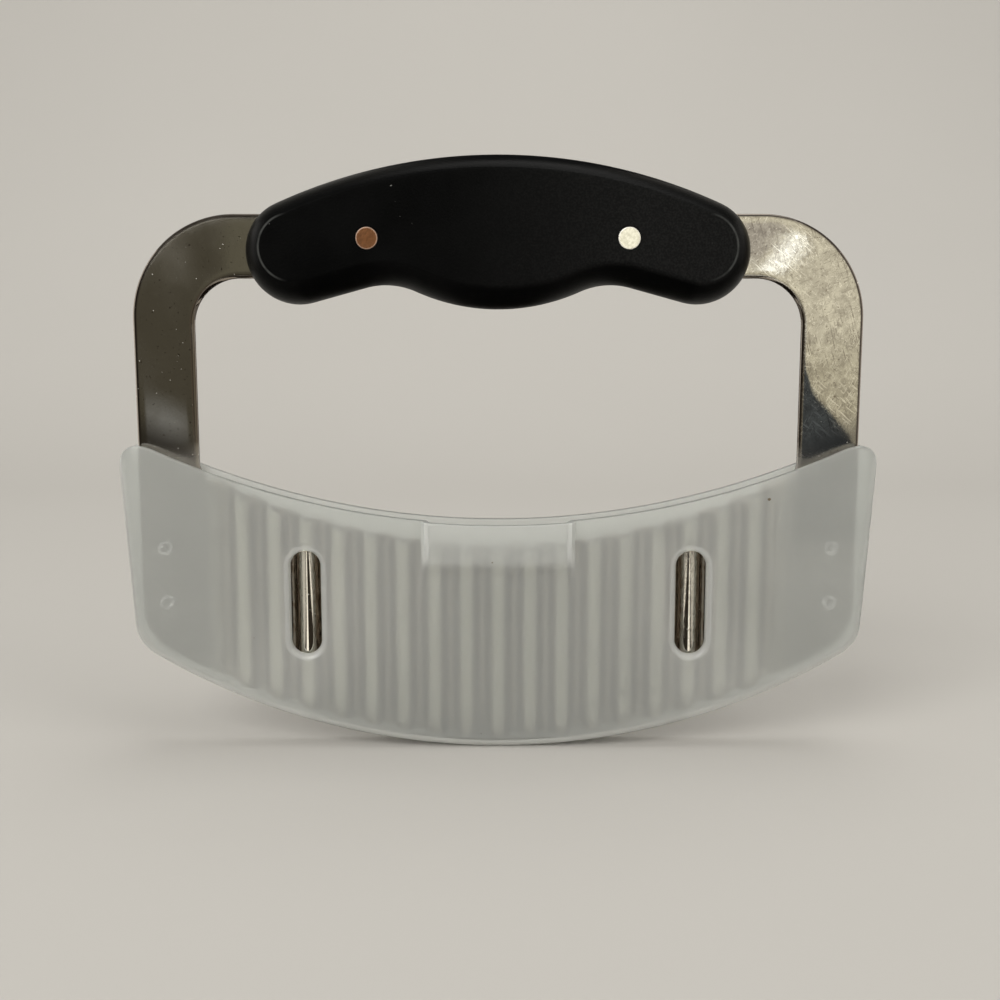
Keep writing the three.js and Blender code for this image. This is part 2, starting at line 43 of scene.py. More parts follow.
# Blade, in millimetres: heights are measured from the lowest point of the cutting edge
EDGE_Z = 2.0
SHEET = 1.4
BLADE_HALF_WIDTH = 78.2
EDGE_RADIUS = 144
BAND_HEIGHT = 43.2
BAND_TOP_RADIUS = 140
BEVEL_HEIGHT = 3.5
EDGE_LAND = 0.2
COINED_WIDTH = 1.1
COINED_DEPTH = 0.5
CORNER_ROUND = 6
PITCH = 7
WAVE_DEPTH = 2.8
WAVES_EACH_SIDE = 9
ARM_WIDTH = 13.2
ARM_INNER_X = BLADE_HALF_WIDTH - ARM_WIDTH
ARM_FILLET = 2
GRIP_HEIGHT = 107.45
TANG_WIDTH = 13.5
TANG_TIP_WIDTH = 10
TANG_TIP_X = 14
TANG_TAPER_X = 50
OUTER_CORNER_RADIUS = 22.2
INNER_CORNER_RADIUS = 10

# Handle: heights are measured from the middle of the tangs
HANDLE_HALF_LENGTH = 53.4
HANDLE_HALF_THICKNESS = 9.5
HANDLE_PEAK = 18.85
HANDLE_TOP_RADIUS = 114.7
LOBE_RADIUS = 11
SCALLOP_X = 24
SCALLOP_DEPTH = 8.15
SCALLOP_RADIUS = 16
BELLY_DROP = 5.1
EDGE_INSET_TOP = 3.6
EDGE_INSET_BOTTOM = 4.6
EDGE_SWEEP = math.radians(68)
CREASE_SHARE = 0.06
CREASE_SUPPORT = 0.25
SCALE_SEAM = 0.2
TANG_CLEARANCE = 0.15

# Rivets
RIVET_X = 27
RIVET_RISE = 1.15
RIVET_HEIGHT = GRIP_HEIGHT + RIVET_RISE
RIVET_HEAD_RADIUS = 2.35
RIVET_HEAD_THICKNESS = 1.6
RIVET_SHANK_RADIUS = 1.7
RIVET_PIN_RADIUS = 1.05
RIVET_SINK = 0.1
RIVET_CLEARANCE = 0.1
RIVET_TUBE_REACH = 4
RIVET_EDGE = 0.2

# Guard: heights are measured from its lowest point
ARC_CENTRE_Z = EDGE_Z + EDGE_RADIUS
CAVITY_HALF = 2.7
GUARD_HALF = 4.3
GUARD_WALL = GUARD_HALF - CAVITY_HALF
OUTER_PAST, OUTER_BELOW = 1.2, 2.0
INNER_PAST, INNER_BELOW = 0.3, 0.4
DRAFT_SLOPE = math.tan(math.radians(3.5))
GUARD_CORNER_ROUND = 4.5
OUTER_FILLET = 2.4
INNER_FILLET = 0.8
RIM_ROUND = 0.35
GUARD_TOP_HEIGHT = 50.3
GUARD_TOP_RADIUS = 180
GUARD_FULL_HEIGHT = 75
EAR_ROUND = 10
END_START_X = 68
TAB_HALF_WIDTH = 16.3
TAB_CHEEK = 1.1
TAB_HEIGHT = 10
TAB_FLARE = 2.4
TAB_BLEND = 0.8
TAB_EDGE = 0.45
SLOT_X = 42
SLOT_HEIGHT = 32.8
SLOT_LENGTH = 23
SLOT_WIDTH = 6.6
SLOT_FLARE = 1.1
SLOT_FLARE_SHIFT = 0.5
PIP_INSET = 6
PIP_X = BLADE_HALF_WIDTH - PIP_INSET
PIP_HEIGHTS = (45, 33)
PIP_RADIUS = 1.2
PIP_TIP_RADIUS = 0.8
PIP_CLEARANCE = 0.3

# Fineness of the meshes
WAVE_STEPS = 6
ARC_POINTS, LONG_ARC_POINTS = 40, 160
ROUND_POINTS = 64
CARD_POINTS = 24
BEVEL_ROWS, BAND_ROWS, ARM_ROWS = 5, 12, 14
FILLET_COLUMNS, ARM_COLUMNS = 6, 10
TIP_TURNS = np.radians([0, 25, 50, 70])
BELLY_POINTS, SCALLOP_POINTS, LOBE_POINTS, TOP_POINTS = 22, 22, 34, 44
SWEEP_RINGS, CREASE_RINGS = 14, 6
AXIS_SHARE = 0.02
HEAD_SHARES = (AXIS_SHARE, 0.5, 0.85)
STRAIGHT_COLUMNS, END_COLUMNS = 52, 26
GUARD_ROWS = 24
EAR_PASSES = 8
QUARTER = np.linspace(0, math.pi / 2, 6)
SHARP_ANGLE = math.radians(38)

# Weld distance, and how far cutting tools reach past a face, in millimetres
WELD = 0.002
CUT_PAST = 1


# Mesh helpers

def mesh_object(name, points, faces):
    """A mesh from points in millimetres, with its faces turned outwards."""
    mesh = bpy.data.meshes.new(name)
    mesh.from_pydata((np.asarray(points, float) * MM).tolist(), [], [[int(i) for i in f] for f in faces])
    shell = bmesh.new()
    shell.from_mesh(mesh)
    bmesh.ops.remove_doubles(shell, verts=shell.verts, dist=WELD * MM)
    bmesh.ops.recalc_face_normals(shell, faces=shell.faces)
    shell.to_mesh(mesh)
    shell.free()
    obj = bpy.data.objects.new(name, mesh)
    bpy.context.collection.objects.link(obj)
    return obj


def combine(obj, tool, operation):
    """Joins the tool to the object, or cuts it away, and deletes the tool."""
    modifier = obj.modifiers.new(operation, "BOOLEAN")
    modifier.object = tool
    modifier.operation = operation
    modifier.solver = "EXACT"
    depsgraph = bpy.context.evaluated_depsgraph_get()
    result = bpy.data.meshes.new_from_object(obj.evaluated_get(depsgraph))
    obj.modifiers.clear()
    obj.data = result
    bpy.data.objects.remove(tool)


def dress(obj, node, body, material):
    """Gives a finished piece its shading, its material and its place in the frame."""
    obj.data.materials.clear()
    obj.data.materials.append(material)
    obj.data.shade_smooth()
    obj.data.set_sharp_from_angle(angle=SHARP_ANGLE)
    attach(obj, body)
    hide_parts(node)


def grid_quads(index):
    """Quads between neighbouring entries of a 2-D array of point numbers."""
    a, b = index[:-1, :-1].ravel(), index[1:, :-1].ravel()
    c, d = index[1:, 1:].ravel(), index[:-1, 1:].ravel()
    return np.stack([a, b, c, d], axis=1).tolist()


def strip_quads(one, other):
    """Quads between two rows of point numbers of the same length."""
    return grid_quads(np.stack([one, other]))


def rings_object(name, rings):
    """A closed solid from rings of points, with a flat face on the first and the last."""
    count = len(rings[0])
    points = np.concatenate(rings)
    index = np.arange(len(points)).reshape(len(rings), count)
    faces = grid_quads(np.concatenate([index, index[:, :1]], axis=1))
    return mesh_object(name, points, faces + [index[0].tolist(), index[-1].tolist()])


def prism(name, outline, y_front, y_back):
    """An outline in X and Z, given thickness along Y."""
    x, z = np.asarray(outline).T
    return rings_object(name, [np.stack([x, np.full_like(x, y), z], axis=1) for y in (y_front, y_back)])


def circle(radius):
    turn = np.linspace(0, 2 * math.pi, ROUND_POINTS, endpoint=False)
    return radius * np.cos(turn), radius * np.sin(turn)


def turned(name, profile, x, z):
    """A turned solid along Y from pairs of radius and Y, closed by flat ends."""
    rings = []
    for radius, y in profile:
        across, up = circle(radius)
        rings.append(np.stack([x + across, np.full_like(across, y), z + up], axis=1))
    return rings_object(name, rings)


def sag(radius, x):
    """Height of an upward-curving arc above its lowest point."""
    return radius - np.sqrt(radius ** 2 - np.square(x))


def bezier(a, b, c, share):
    share = np.asarray(share)[:, None]
    return (1 - share) ** 2 * np.array(a) + 2 * share * (1 - share) * np.array(b) + share ** 2 * np.array(c)


def rounding(distance, width, depth):
    """How far a rounded edge falls away at a distance from the rim."""
    inward = 1 - np.clip(distance / width, 0, 1)
    return depth * (1 - np.sqrt(1 - inward ** 2))


def edge_distance(points, starts, ends):
    """Distance in the plane from each point to the nearest of the segments."""
    nearest = np.full(len(points), np.inf)
    for a, b in zip(starts, ends):
        along = b - a
        share = np.clip((points - a) @ along / (along @ along), 0, 1)
        nearest = np.minimum(nearest, np.linalg.norm(points - a - share[:, None] * along, axis=1))
    return nearest


# Blade

def wave_columns():
    """X, Y and front normal of the corrugation's middle line: each half wave is two equal arcs in an S."""
    half = PITCH / 2
    last = 2 * WAVES_EACH_SIDE
    level = [0 if abs(i) == last else WAVE_DEPTH / 2 * (1 if i % 2 else -1) for i in range(-last, last + 1)]
    columns = []
    for step, (y, y_next) in enumerate(zip(level, level[1:])):
        x = (step - last) * half
        way = math.copysign(1, y_next - y)
        bend = 2 * math.atan(abs(y_next - y) / half)
        radius = half / (2 * math.sin(bend))
        for start_x, start_y, sign, bends in ((x, y, 1, (0, bend)), (x + half, y_next, -1, (bend, 0))):
            for turn in np.linspace(*bends, WAVE_STEPS, endpoint=False):
                along, across = sign * radius * math.sin(turn), sign * way * radius * (1 - math.cos(turn))
                columns.append((start_x + along, start_y + across, way * math.sin(turn), -math.cos(turn)))
    return np.array(columns)


def corner_height(x, end_x, width, low, high, rise):
    """Height on a rounded corner of a given width, which ends upright."""
    left = np.sqrt(np.clip((end_x - x) / width, 0, 1))
    return left ** 2 * low + (1 - left ** 2) * high + (1 - left) ** 2 * rise


def blade_foot(x):
    """Height of the cutting edge, with the rounded lower corners."""
    x = np.abs(x)
    corner_z = sag(EDGE_RADIUS, BLADE_HALF_WIDTH)
    start_x = EDGE_RADIUS * math.sin(math.asin(BLADE_HALF_WIDTH / EDGE_RADIUS) - CORNER_ROUND / EDGE_RADIUS)
    low, width = sag(EDGE_RADIUS, start_x), BLADE_HALF_WIDTH - start_x
    rounded = corner_height(x, BLADE_HALF_WIDTH, width, low, corner_z, CORNER_ROUND)
    return np.where(x < start_x, sag(EDGE_RADIUS, x), rounded)


def blade_head(x):
    """Height of the band's top edge, with the fillet up into the arm; level across the arm."""
    x = np.abs(x)
    fillet_x = ARM_INNER_X - ARM_FILLET
    corner_z = BAND_HEIGHT + sag(BAND_TOP_RADIUS, ARM_INNER_X)
    low = BAND_HEIGHT + sag(BAND_TOP_RADIUS, fillet_x)
    fillet = corner_height(x, ARM_INNER_X, ARM_FILLET, low, corner_z, ARM_FILLET)
    return np.where(x < fillet_x, BAND_HEIGHT + sag(BAND_TOP_RADIUS, np.minimum(x, fillet_x)), fillet)


def corner_points(x, z, radius):
    """A quarter turn round a centre, from its right to its top."""
    turn = np.linspace(0, math.pi / 2, ARC_POINTS)
    return [(x + radius * math.cos(a), z + radius * math.sin(a)) for a in turn]


def tang_path(grow=0.0):
    """Inner and outer edge of the right arm and tang, from the band up and round into the handle."""
    inner_x, outer_x = ARM_INNER_X - grow, BLADE_HALF_WIDTH + grow
    bottom, top = GRIP_HEIGHT - TANG_WIDTH / 2 - grow, GRIP_HEIGHT + TANG_WIDTH / 2 + grow
    inner_r, outer_r = INNER_CORNER_RADIUS - grow, OUTER_CORNER_RADIUS + grow
    seam = float(blade_head(ARM_INNER_X))
    rise = np.linspace(0, 1, ARM_ROWS)[:-1]
    inner = [(inner_x, seam + s * (bottom - inner_r - seam)) for s in rise]
    outer = [(outer_x, seam + s * (top - outer_r - seam)) for s in rise]
    inner += corner_points(inner_x - inner_r, bottom - inner_r, inner_r)
    outer += corner_points(outer_x - outer_r, top - outer_r, outer_r)
    tip_half = TANG_TIP_WIDTH / 2 + grow
    round_x = TANG_TIP_X + TANG_TIP_WIDTH / 2
    inner.append((TANG_TAPER_X, bottom))
    outer.append((TANG_TAPER_X, top))
    for a in TIP_TURNS:
        x = round_x - (round_x - TANG_TIP_X + grow) * math.sin(a)
        inner.append((x, RIVET_HEIGHT - tip_half * math.cos(a)))
        outer.append((x, RIVET_HEIGHT + tip_half * math.cos(a)))
    return np.array(inner), np.array(outer)


def end_columns():
    """X of the columns in the flat right end: fine at the fillet and along both edges of the arm."""
    edge = COINED_WIDTH * (1 - np.cos(QUARTER))
    fillet = ARM_INNER_X - ARM_FILLET * np.linspace(1, 0, FILLET_COLUMNS, endpoint=False) ** 2
    inner = ARM_INNER_X + edge
    outer = BLADE_HALF_WIDTH - edge[::-1]
    middle = np.linspace(inner[-1], outer[0], ARM_COLUMNS)[1:-1]
    return np.concatenate([fillet, inner, middle, outer])


def blade_layout():
    """The blade's flat plan: points in X and Z, their middle Y and normal, the quads and the ground edge."""
    right = np.array([(x, 0, 0, -1) for x in end_columns()])
    left = right[::-1] * (-1, 1, 1, 1)
    columns = np.concatenate([left, wave_columns()[1:], right])
    x = columns[:, 0]
    foot, head = blade_foot(x), blade_head(x)
    low = foot[:, None] + BEVEL_HEIGHT * np.linspace(0, 1, BEVEL_ROWS)
    high = head[:, None] - COINED_WIDTH * (1 - np.cos(QUARTER[::-1]))
    share = np.linspace(0, 1, BAND_ROWS)[1:-1]
    middle = low[:, -1:] + (high[:, :1] - low[:, -1:]) * share
    z = np.concatenate([low, middle, high], axis=1)
    plan = np.stack([np.repeat(x[:, None], z.shape[1], axis=1), z], axis=2).reshape(-1, 2)
    index = np.arange(len(plan)).reshape(z.shape)
    quads = grid_quads(index)
    middles = np.repeat(columns[:, 1:], z.shape[1], axis=0)
    ground = set(index[:, 0].tolist())
    inner, outer = tang_path()
    arm_count = int(np.sum(right[:, 0] >= ARM_INNER_X))
    share = (right[-arm_count:, 0] - ARM_INNER_X) / ARM_WIDTH
    for hand in (1, -1):
        rows = inner[1:, None] + (outer - inner)[1:, None] * share[:, None]
        start = len(plan)
        plan = np.concatenate([plan, (rows * (hand, 1)).reshape(-1, 2)])
        middles = np.concatenate([middles, np.tile((0, 0, -1), (rows.shape[0] * arm_count, 1))])
        seam = index[-arm_count:, -1] if hand > 0 else index[:arm_count, -1][::-1]
        upper = start + np.arange(rows.shape[0] * arm_count).reshape(-1, arm_count)
        quads += grid_quads(np.concatenate([seam[None], upper]))
    return plan, middles, quads, ground


def blade_piece(material):
    plan, middles, quads, ground = blade_layout()
    corners = np.array(quads)
    edges = np.sort(np.concatenate([corners[:, [k, (k + 1) % 4]] for k in range(4)]), axis=1)
    edges, uses = np.unique(edges, axis=0, return_counts=True)
    rim = edges[uses == 1]
    coined = np.array([e for e in rim if not (e[0] in ground and e[1] in ground)])
    distance = edge_distance(plan, plan[coined[:, 0]], plan[coined[:, 1]])
    half = SHEET / 2 - rounding(distance, COINED_WIDTH, COINED_DEPTH)
    rise = np.clip((plan[:, 1] - blade_foot(plan[:, 0])) / BEVEL_HEIGHT, 0, 1)
    half = np.minimum(half, EDGE_LAND / 2 + (SHEET - EDGE_LAND) / 2 * rise)
    y, nx, ny = middles.T
    front = np.stack([plan[:, 0] + nx * half, y + ny * half, plan[:, 1] + EDGE_Z], axis=1)
    back = np.stack([plan[:, 0] - nx * half, y - ny * half, plan[:, 1] + EDGE_Z], axis=1)
    count = len(plan)
    walls = [[a, b, b + count, a + count] for a, b in rim]
    obj = mesh_object("blade", np.concatenate([front, back]), quads + (corners + count).tolist() + walls)
    for x in (-RIVET_X, RIVET_X):
        across, up = circle(RIVET_SHANK_RADIUS + RIVET_CLEARANCE)
        hole = prism("hole", np.stack([x + across, RIVET_HEIGHT + EDGE_Z + up], axis=1), -SHEET, SHEET)
        combine(obj, hole, "DIFFERENCE")
    dress(obj, "crinkle_blade", "cutter", material)


# Handle

def outline_arc(x, z, radius, start, end, count, out=1):
    turn = np.linspace(start, end, count, endpoint=False)
    nx, nz = np.cos(turn), np.sin(turn)
    return np.stack([x + radius * nx, z + radius * nz, out * nx, out * nz], axis=1)


def handle_lobe():
    """Centre of the rounded right end of the handle."""
    lobe_x = HANDLE_HALF_LENGTH - LOBE_RADIUS
    top_z = GRIP_HEIGHT + HANDLE_PEAK - HANDLE_TOP_RADIUS
    return lobe_x, top_z + math.sqrt((HANDLE_TOP_RADIUS - LOBE_RADIUS) ** 2 - lobe_x ** 2)


def handle_outline():
    """Silhouette of the handle from the middle of the belly: X, Z and the normal of each point."""
    top_z = GRIP_HEIGHT + HANDLE_PEAK - HANDLE_TOP_RADIUS
    lobe_x, lobe_z = handle_lobe()
    scallop_top = GRIP_HEIGHT - SCALLOP_DEPTH
    scallop_z = scallop_top - SCALLOP_RADIUS
    rest = SCALLOP_RADIUS - BELLY_DROP
    belly_radius = (SCALLOP_X ** 2 + rest ** 2 - SCALLOP_RADIUS ** 2) / (2 * BELLY_DROP)
    belly_z = scallop_top - BELLY_DROP + belly_radius
    belly_end = math.atan2(scallop_z - belly_z, SCALLOP_X)
    reach, lift = lobe_x - SCALLOP_X, lobe_z - scallop_z
    lean = math.acos(min(1, (SCALLOP_RADIUS + LOBE_RADIUS) / math.hypot(reach, lift)))
    slope = math.atan2(lift, reach) + lean
    lobe_end = math.atan2(lobe_z - top_z, lobe_x)
    right = np.concatenate([
        outline_arc(0, belly_z, belly_radius, -math.pi / 2, belly_end, BELLY_POINTS),
        outline_arc(SCALLOP_X, scallop_z, SCALLOP_RADIUS, belly_end + math.pi, slope, SCALLOP_POINTS, -1),
        outline_arc(lobe_x, lobe_z, LOBE_RADIUS, slope - math.pi, lobe_end, LOBE_POINTS),
        outline_arc(0, top_z, HANDLE_TOP_RADIUS, lobe_end, math.pi / 2, TOP_POINTS),
    ])
    peak = np.array([[0, top_z + HANDLE_TOP_RADIUS, 0, 1]])
    return np.concatenate([right, peak, right[:0:-1] * (-1, 1, -1, 1)])


def scale_profile():
    """Inset share and depth of the rings of a handle half: a sweep from the seam, then a soft crease."""
    full = 1 - math.cos(EDGE_SWEEP)
    turn = np.linspace(0, math.acos(1 - (1 - CREASE_SHARE) * full), SWEEP_RINGS)
    inset = (1 - np.cos(turn)) / full
    depth = SCALE_SEAM / 2 + (HANDLE_HALF_THICKNESS - SCALE_SEAM / 2) * np.sin(turn) / math.sin(EDGE_SWEEP)
    swept = np.stack([inset, depth], axis=1)
    flat = (1 + CREASE_SHARE, HANDLE_HALF_THICKNESS)
    crease = bezier(swept[-1], (1, HANDLE_HALF_THICKNESS), flat, np.linspace(0, 1, CREASE_RINGS)[1:])
    return np.concatenate([swept, crease, [(1 + CREASE_SUPPORT, HANDLE_HALF_THICKNESS)]])


def scale_piece(node, side, material):
    x, z, nx, nz = handle_outline().T
    reach = EDGE_INSET_BOTTOM + (EDGE_INSET_TOP - EDGE_INSET_BOTTOM) * (nz + 1) / 2
    rings = []
    for inset, depth in scale_profile():
        across, up = x - nx * reach * inset, z - nz * reach * inset + EDGE_Z
        rings.append(np.stack([across, np.full_like(x, side * depth), up], axis=1))
    obj = rings_object(node.replace("_handle", ""), rings)
    inner, outer = tang_path(TANG_CLEARANCE)
    outline = np.concatenate([inner, outer[::-1]]) + (0, EDGE_Z)
    room = SHEET / 2 + TANG_CLEARANCE
    face = HANDLE_HALF_THICKNESS
    seat = face - RIVET_SINK - RIVET_HEAD_THICKNESS - RIVET_CLEARANCE
    for hand in (-1, 1):
        combine(obj, prism("pocket", outline * (hand, 1), -room, room), "DIFFERENCE")
        bore = [(RIVET_HEAD_RADIUS + RIVET_CLEARANCE, side * (face + CUT_PAST)),
                (RIVET_HEAD_RADIUS + RIVET_CLEARANCE, side * seat),
                (RIVET_SHANK_RADIUS + RIVET_CLEARANCE, side * seat),
                (RIVET_SHANK_RADIUS + RIVET_CLEARANCE, -side * CUT_PAST)]
        combine(obj, turned("bore", bore, hand * RIVET_X, RIVET_HEIGHT + EDGE_Z), "DIFFERENCE")
    dress(obj, node, "cutter", material)


# Rivets

def head_profile(face, shoulder):
    """Rounded flush head: pairs of radius and Y from the middle of the face to the shoulder."""
    way = math.copysign(1, face)
    edge = [(RIVET_HEAD_RADIUS - RIVET_EDGE * (1 - math.sin(a)), face - way * RIVET_EDGE * (1 - math.cos(a)))
            for a in QUARTER]
    middle = [(RIVET_HEAD_RADIUS * share, face) for share in HEAD_SHARES]
    return middle + edge + [(RIVET_HEAD_RADIUS, shoulder)]


def rivet_pieces(material):
    face = HANDLE_HALF_THICKNESS - RIVET_SINK
    shoulder = face - RIVET_HEAD_THICKNESS
    bore = RIVET_PIN_RADIUS + RIVET_CLEARANCE
    socket = head_profile(-face, -shoulder) + [
        (RIVET_SHANK_RADIUS, -shoulder), (RIVET_SHANK_RADIUS, RIVET_TUBE_REACH), (bore, RIVET_TUBE_REACH),
        (bore, -shoulder), (RIVET_HEAD_RADIUS * AXIS_SHARE, -shoulder)]
    pin = head_profile(face, shoulder) + [
        (RIVET_PIN_RADIUS, shoulder), (RIVET_PIN_RADIUS, RIVET_CLEARANCE - shoulder),
        (RIVET_HEAD_RADIUS * AXIS_SHARE, RIVET_CLEARANCE - shoulder)]
    for hand, x in (("left", -RIVET_X), ("right", RIVET_X)):
        for kind, profile in (("socket", socket), ("pin", pin)):
            obj = turned(f"{hand}_{kind}", profile, x, RIVET_HEIGHT + EDGE_Z)
            dress(obj, f"{hand}_rivet_{kind}", "cutter", material)


# Guard

def guard_corner(past, below):
    x = BLADE_HALF_WIDTH + past
    return x, ARC_CENTRE_Z - math.sqrt((EDGE_RADIUS + below) ** 2 - x ** 2)


def guard_end(past, below, z):
    """X of a leaning guard end at a height."""
    x, corner_z = guard_corner(past, below)
    return x + (z - corner_z) * DRAFT_SLOPE


def lower_curve(past, below):
    """Right half of the lower edge, from the middle out and round the corner."""
    radius = EDGE_RADIUS + below
    x, corner_z = guard_corner(past, below)
    swing = math.asin(x / radius) - GUARD_CORNER_ROUND / radius
    turn = np.linspace(0, swing, LONG_ARC_POINTS)
    arc = np.stack([radius * np.sin(turn), ARC_CENTRE_Z - radius * np.cos(turn)], axis=1)
    side_z = corner_z + GUARD_CORNER_ROUND
    side = (guard_end(past, below, side_z), side_z)
    return np.concatenate([arc, bezier(arc[-1], (x, corner_z), side, np.linspace(0, 1, ARC_POINTS)[1:])])


def upper_curve(past, below):
    """Right half of the top edge, from the middle out and round the ear to the leaning end."""
    ear_x = BLADE_HALF_WIDTH
    for _ in range(EAR_PASSES):
        ear_x = guard_end(OUTER_PAST, OUTER_BELOW, GUARD_TOP_HEIGHT + sag(GUARD_TOP_RADIUS, ear_x))
    ear_z = GUARD_TOP_HEIGHT + sag(GUARD_TOP_RADIUS, ear_x)
    swing = math.asin(ear_x / GUARD_TOP_RADIUS) - EAR_ROUND / GUARD_TOP_RADIUS
    x = GUARD_TOP_RADIUS * np.sin(np.linspace(0, swing, LONG_ARC_POINTS))
    arc = np.stack([x, GUARD_TOP_HEIGHT + sag(GUARD_TOP_RADIUS, x)], axis=1)
    side = (guard_end(OUTER_PAST, OUTER_BELOW, ear_z - EAR_ROUND), ear_z - EAR_ROUND)
    ear = bezier(arc[-1], (ear_x, ear_z), side, np.linspace(0, 1, LONG_ARC_POINTS)[1:])
    curve = np.concatenate([arc, ear])
    return curve[curve[:, 0] <= guard_end(past, below, curve[:, 1]) + WELD]


def sampled(curve, shares):
    """Points along a curve at shares of its length."""
    lengths = np.concatenate([[0], np.cumsum(np.linalg.norm(np.diff(curve, axis=0), axis=1))])
    stops = np.asarray(shares) * lengths[-1]
    return np.stack([np.interp(stops, lengths, curve[:, k]) for k in (0, 1)], axis=1)


def tab_columns():
    """X of the columns on both edges of the thumb tab, outside and inside."""
    edges = (TAB_HALF_WIDTH, TAB_HALF_WIDTH - TAB_CHEEK)
    return [edge + shift for edge in edges for shift in (-TAB_EDGE, -TAB_EDGE / 2, 0, TAB_EDGE / 2, TAB_EDGE)]


def guard_columns(past, below):
    """Foot and head of the guard's columns, from left to right."""
    straight = np.unique(np.concatenate([np.linspace(0, END_START_X, STRAIGHT_COLUMNS), tab_columns()]))
    shares = np.sin(np.linspace(0, math.pi / 2, END_COLUMNS))[1:]
    rows = []
    for curve in (lower_curve(past, below), upper_curve(past, below)):
        row = np.stack([straight, np.interp(straight, *curve[curve[:, 0] < PIP_X].T)], axis=1)
        end = np.vstack([row[-1:], curve[curve[:, 0] > END_START_X]])
        row = np.concatenate([row, sampled(end, shares)])
        rows.append(np.concatenate([row[:0:-1] * (-1, 1), row]))
    return rows


def tab_lean(x, z, half_width):
    """How far the thumb tab stands out from the front wall."""
    rise = z - (GUARD_TOP_HEIGHT - TAB_HEIGHT)
    lean = TAB_FLARE / TAB_HEIGHT * (rise + np.sqrt(rise ** 2 + TAB_BLEND ** 2)) / 2
    inside = np.clip((half_width + TAB_EDGE - np.abs(x)) / (2 * TAB_EDGE), 0, 1)
    return lean * inside * np.clip(rise / TAB_BLEND + 2, 0, 1)


def guard_shell(past, below, half, fillet, rim, tab_half):
    """Front and back sheet of the guard's outer or inner skin, as grids of points."""
    foot, head = guard_columns(past, below)
    length = np.linalg.norm(head - foot, axis=1)[:, None]
    low = np.tile(OUTER_FILLET * (1 - np.cos(QUARTER)), (len(foot), 1))
    high = length - RIM_ROUND * (1 - np.cos(QUARTER[::-1]))
    share = np.linspace(0, 1, GUARD_ROWS)[1:-1]
    along = np.concatenate([low, low[:, -1:] + (high[:, :1] - low[:, -1:]) * share, high], axis=1)
    plan = foot[:, None] + (head - foot)[:, None] * (along / length)[:, :, None]
    top = np.array([(guard_end(past, below, GUARD_FULL_HEIGHT), GUARD_FULL_HEIGHT)])
    border = np.concatenate([top * (-1, 1), foot, top])
    distance = edge_distance(plan.reshape(-1, 2), border[:-1], border[1:]).reshape(along.shape)
    depth = half - rounding(distance, fillet, fillet) - rim * rounding(length - along, RIM_ROUND, RIM_ROUND)
    lean = tab_lean(plan[:, :, 0], plan[:, :, 1], tab_half)
    front = np.stack([plan[:, :, 0], -depth - lean, plan[:, :, 1]], axis=2)
    back = np.stack([plan[:, :, 0], depth, plan[:, :, 1]], axis=2)
    return front, back


def guard_body():
    """The open sheath: an outer and an inner skin, joined along the top rim."""
    tab_inside = TAB_HALF_WIDTH - TAB_CHEEK
    shells = (*guard_shell(OUTER_PAST, OUTER_BELOW, GUARD_HALF, OUTER_FILLET, 1, TAB_HALF_WIDTH),
              *guard_shell(INNER_PAST, INNER_BELOW, CAVITY_HALF, INNER_FILLET, -1, tab_inside))
    points = np.concatenate([sheet.reshape(-1, 3) for sheet in shells])
    size = shells[0].shape[0] * shells[0].shape[1]
    front, back, inner_front, inner_back = (
        k * size + np.arange(size).reshape(shells[0].shape[:2]) for k in range(4))
    faces = [quad for sheet in (front, back, inner_front, inner_back) for quad in grid_quads(sheet)]
    for one, other in ((front, back), (inner_front, inner_back)):
        faces += strip_quads(one[:, 0], other[:, 0])
        faces += strip_quads(one[0], other[0]) + strip_quads(one[-1], other[-1])
    faces += strip_quads(front[:, -1], inner_front[:, -1]) + strip_quads(back[:, -1], inner_back[:, -1])
    for end in (0, -1):
        faces.append([sheet[end, -1] for sheet in (front, back, inner_back, inner_front)])
    return mesh_object("guard", points, faces)


def slot_cutter(hand):
    """An upright slot with round ends, whose front edge flares out, more on the side near the middle."""
    rise = (SLOT_LENGTH - SLOT_WIDTH) / 2
    x, z = circle(1)
    rings = []
    profile = [(0, -CAVITY_HALF + GUARD_WALL / 2), (0, -GUARD_HALF + SLOT_FLARE)]
    for a in QUARTER[1:]:
        profile.append((SLOT_FLARE * (1 - math.cos(a)), -GUARD_HALF + SLOT_FLARE * (1 - math.sin(a))))
    for flare, y in profile + [(SLOT_FLARE, -GUARD_HALF - CUT_PAST)]:
        radius = SLOT_WIDTH / 2 + flare
        shift = SLOT_FLARE_SHIFT * flare / SLOT_FLARE
        rings.append(np.stack([hand * SLOT_X + radius * x - hand * shift, np.full_like(x, y),
                               SLOT_HEIGHT + radius * z + np.where(z > 0, rise, -rise) - shift], axis=1))
    return rings_object("slot", rings)


def guard_piece(material):
    obj = guard_body()
    root, tip = CAVITY_HALF + GUARD_WALL / 2, SHEET / 2 + PIP_CLEARANCE
    for hand in (-1, 1):
        combine(obj, slot_cutter(hand), "DIFFERENCE")
        for z in PIP_HEIGHTS:
            for side in (-1, 1):
                profile = [(PIP_RADIUS, side * root), (PIP_TIP_RADIUS, side * tip)]
                combine(obj, turned("pip", profile, hand * PIP_X, z), "UNION")
    dress(obj, "blade_guard", "guard", material)


# Node helpers

# Sockets of the Mix node for its two colours and its result
MIX_ONE, MIX_OTHER, MIX_RESULT = 6, 7, 2


def new_material(name, **sockets):
    """A material and its node tree, with constant values on the shader's own sockets."""
    material = bpy.data.materials.new(name)
    material.use_nodes = True
    shader = material.node_tree.nodes["Principled BSDF"]
    for socket, value in sockets.items():
        shader.inputs[socket.replace("_", " ")].default_value = value
    return material, material.node_tree


def connect(tree, **sockets):
    """Feeds sockets of the shader from other nodes."""
    shader = tree.nodes["Principled BSDF"]
    for socket, value in sockets.items():
        tree.links.new(value, shader.inputs[socket.replace("_", " ")])


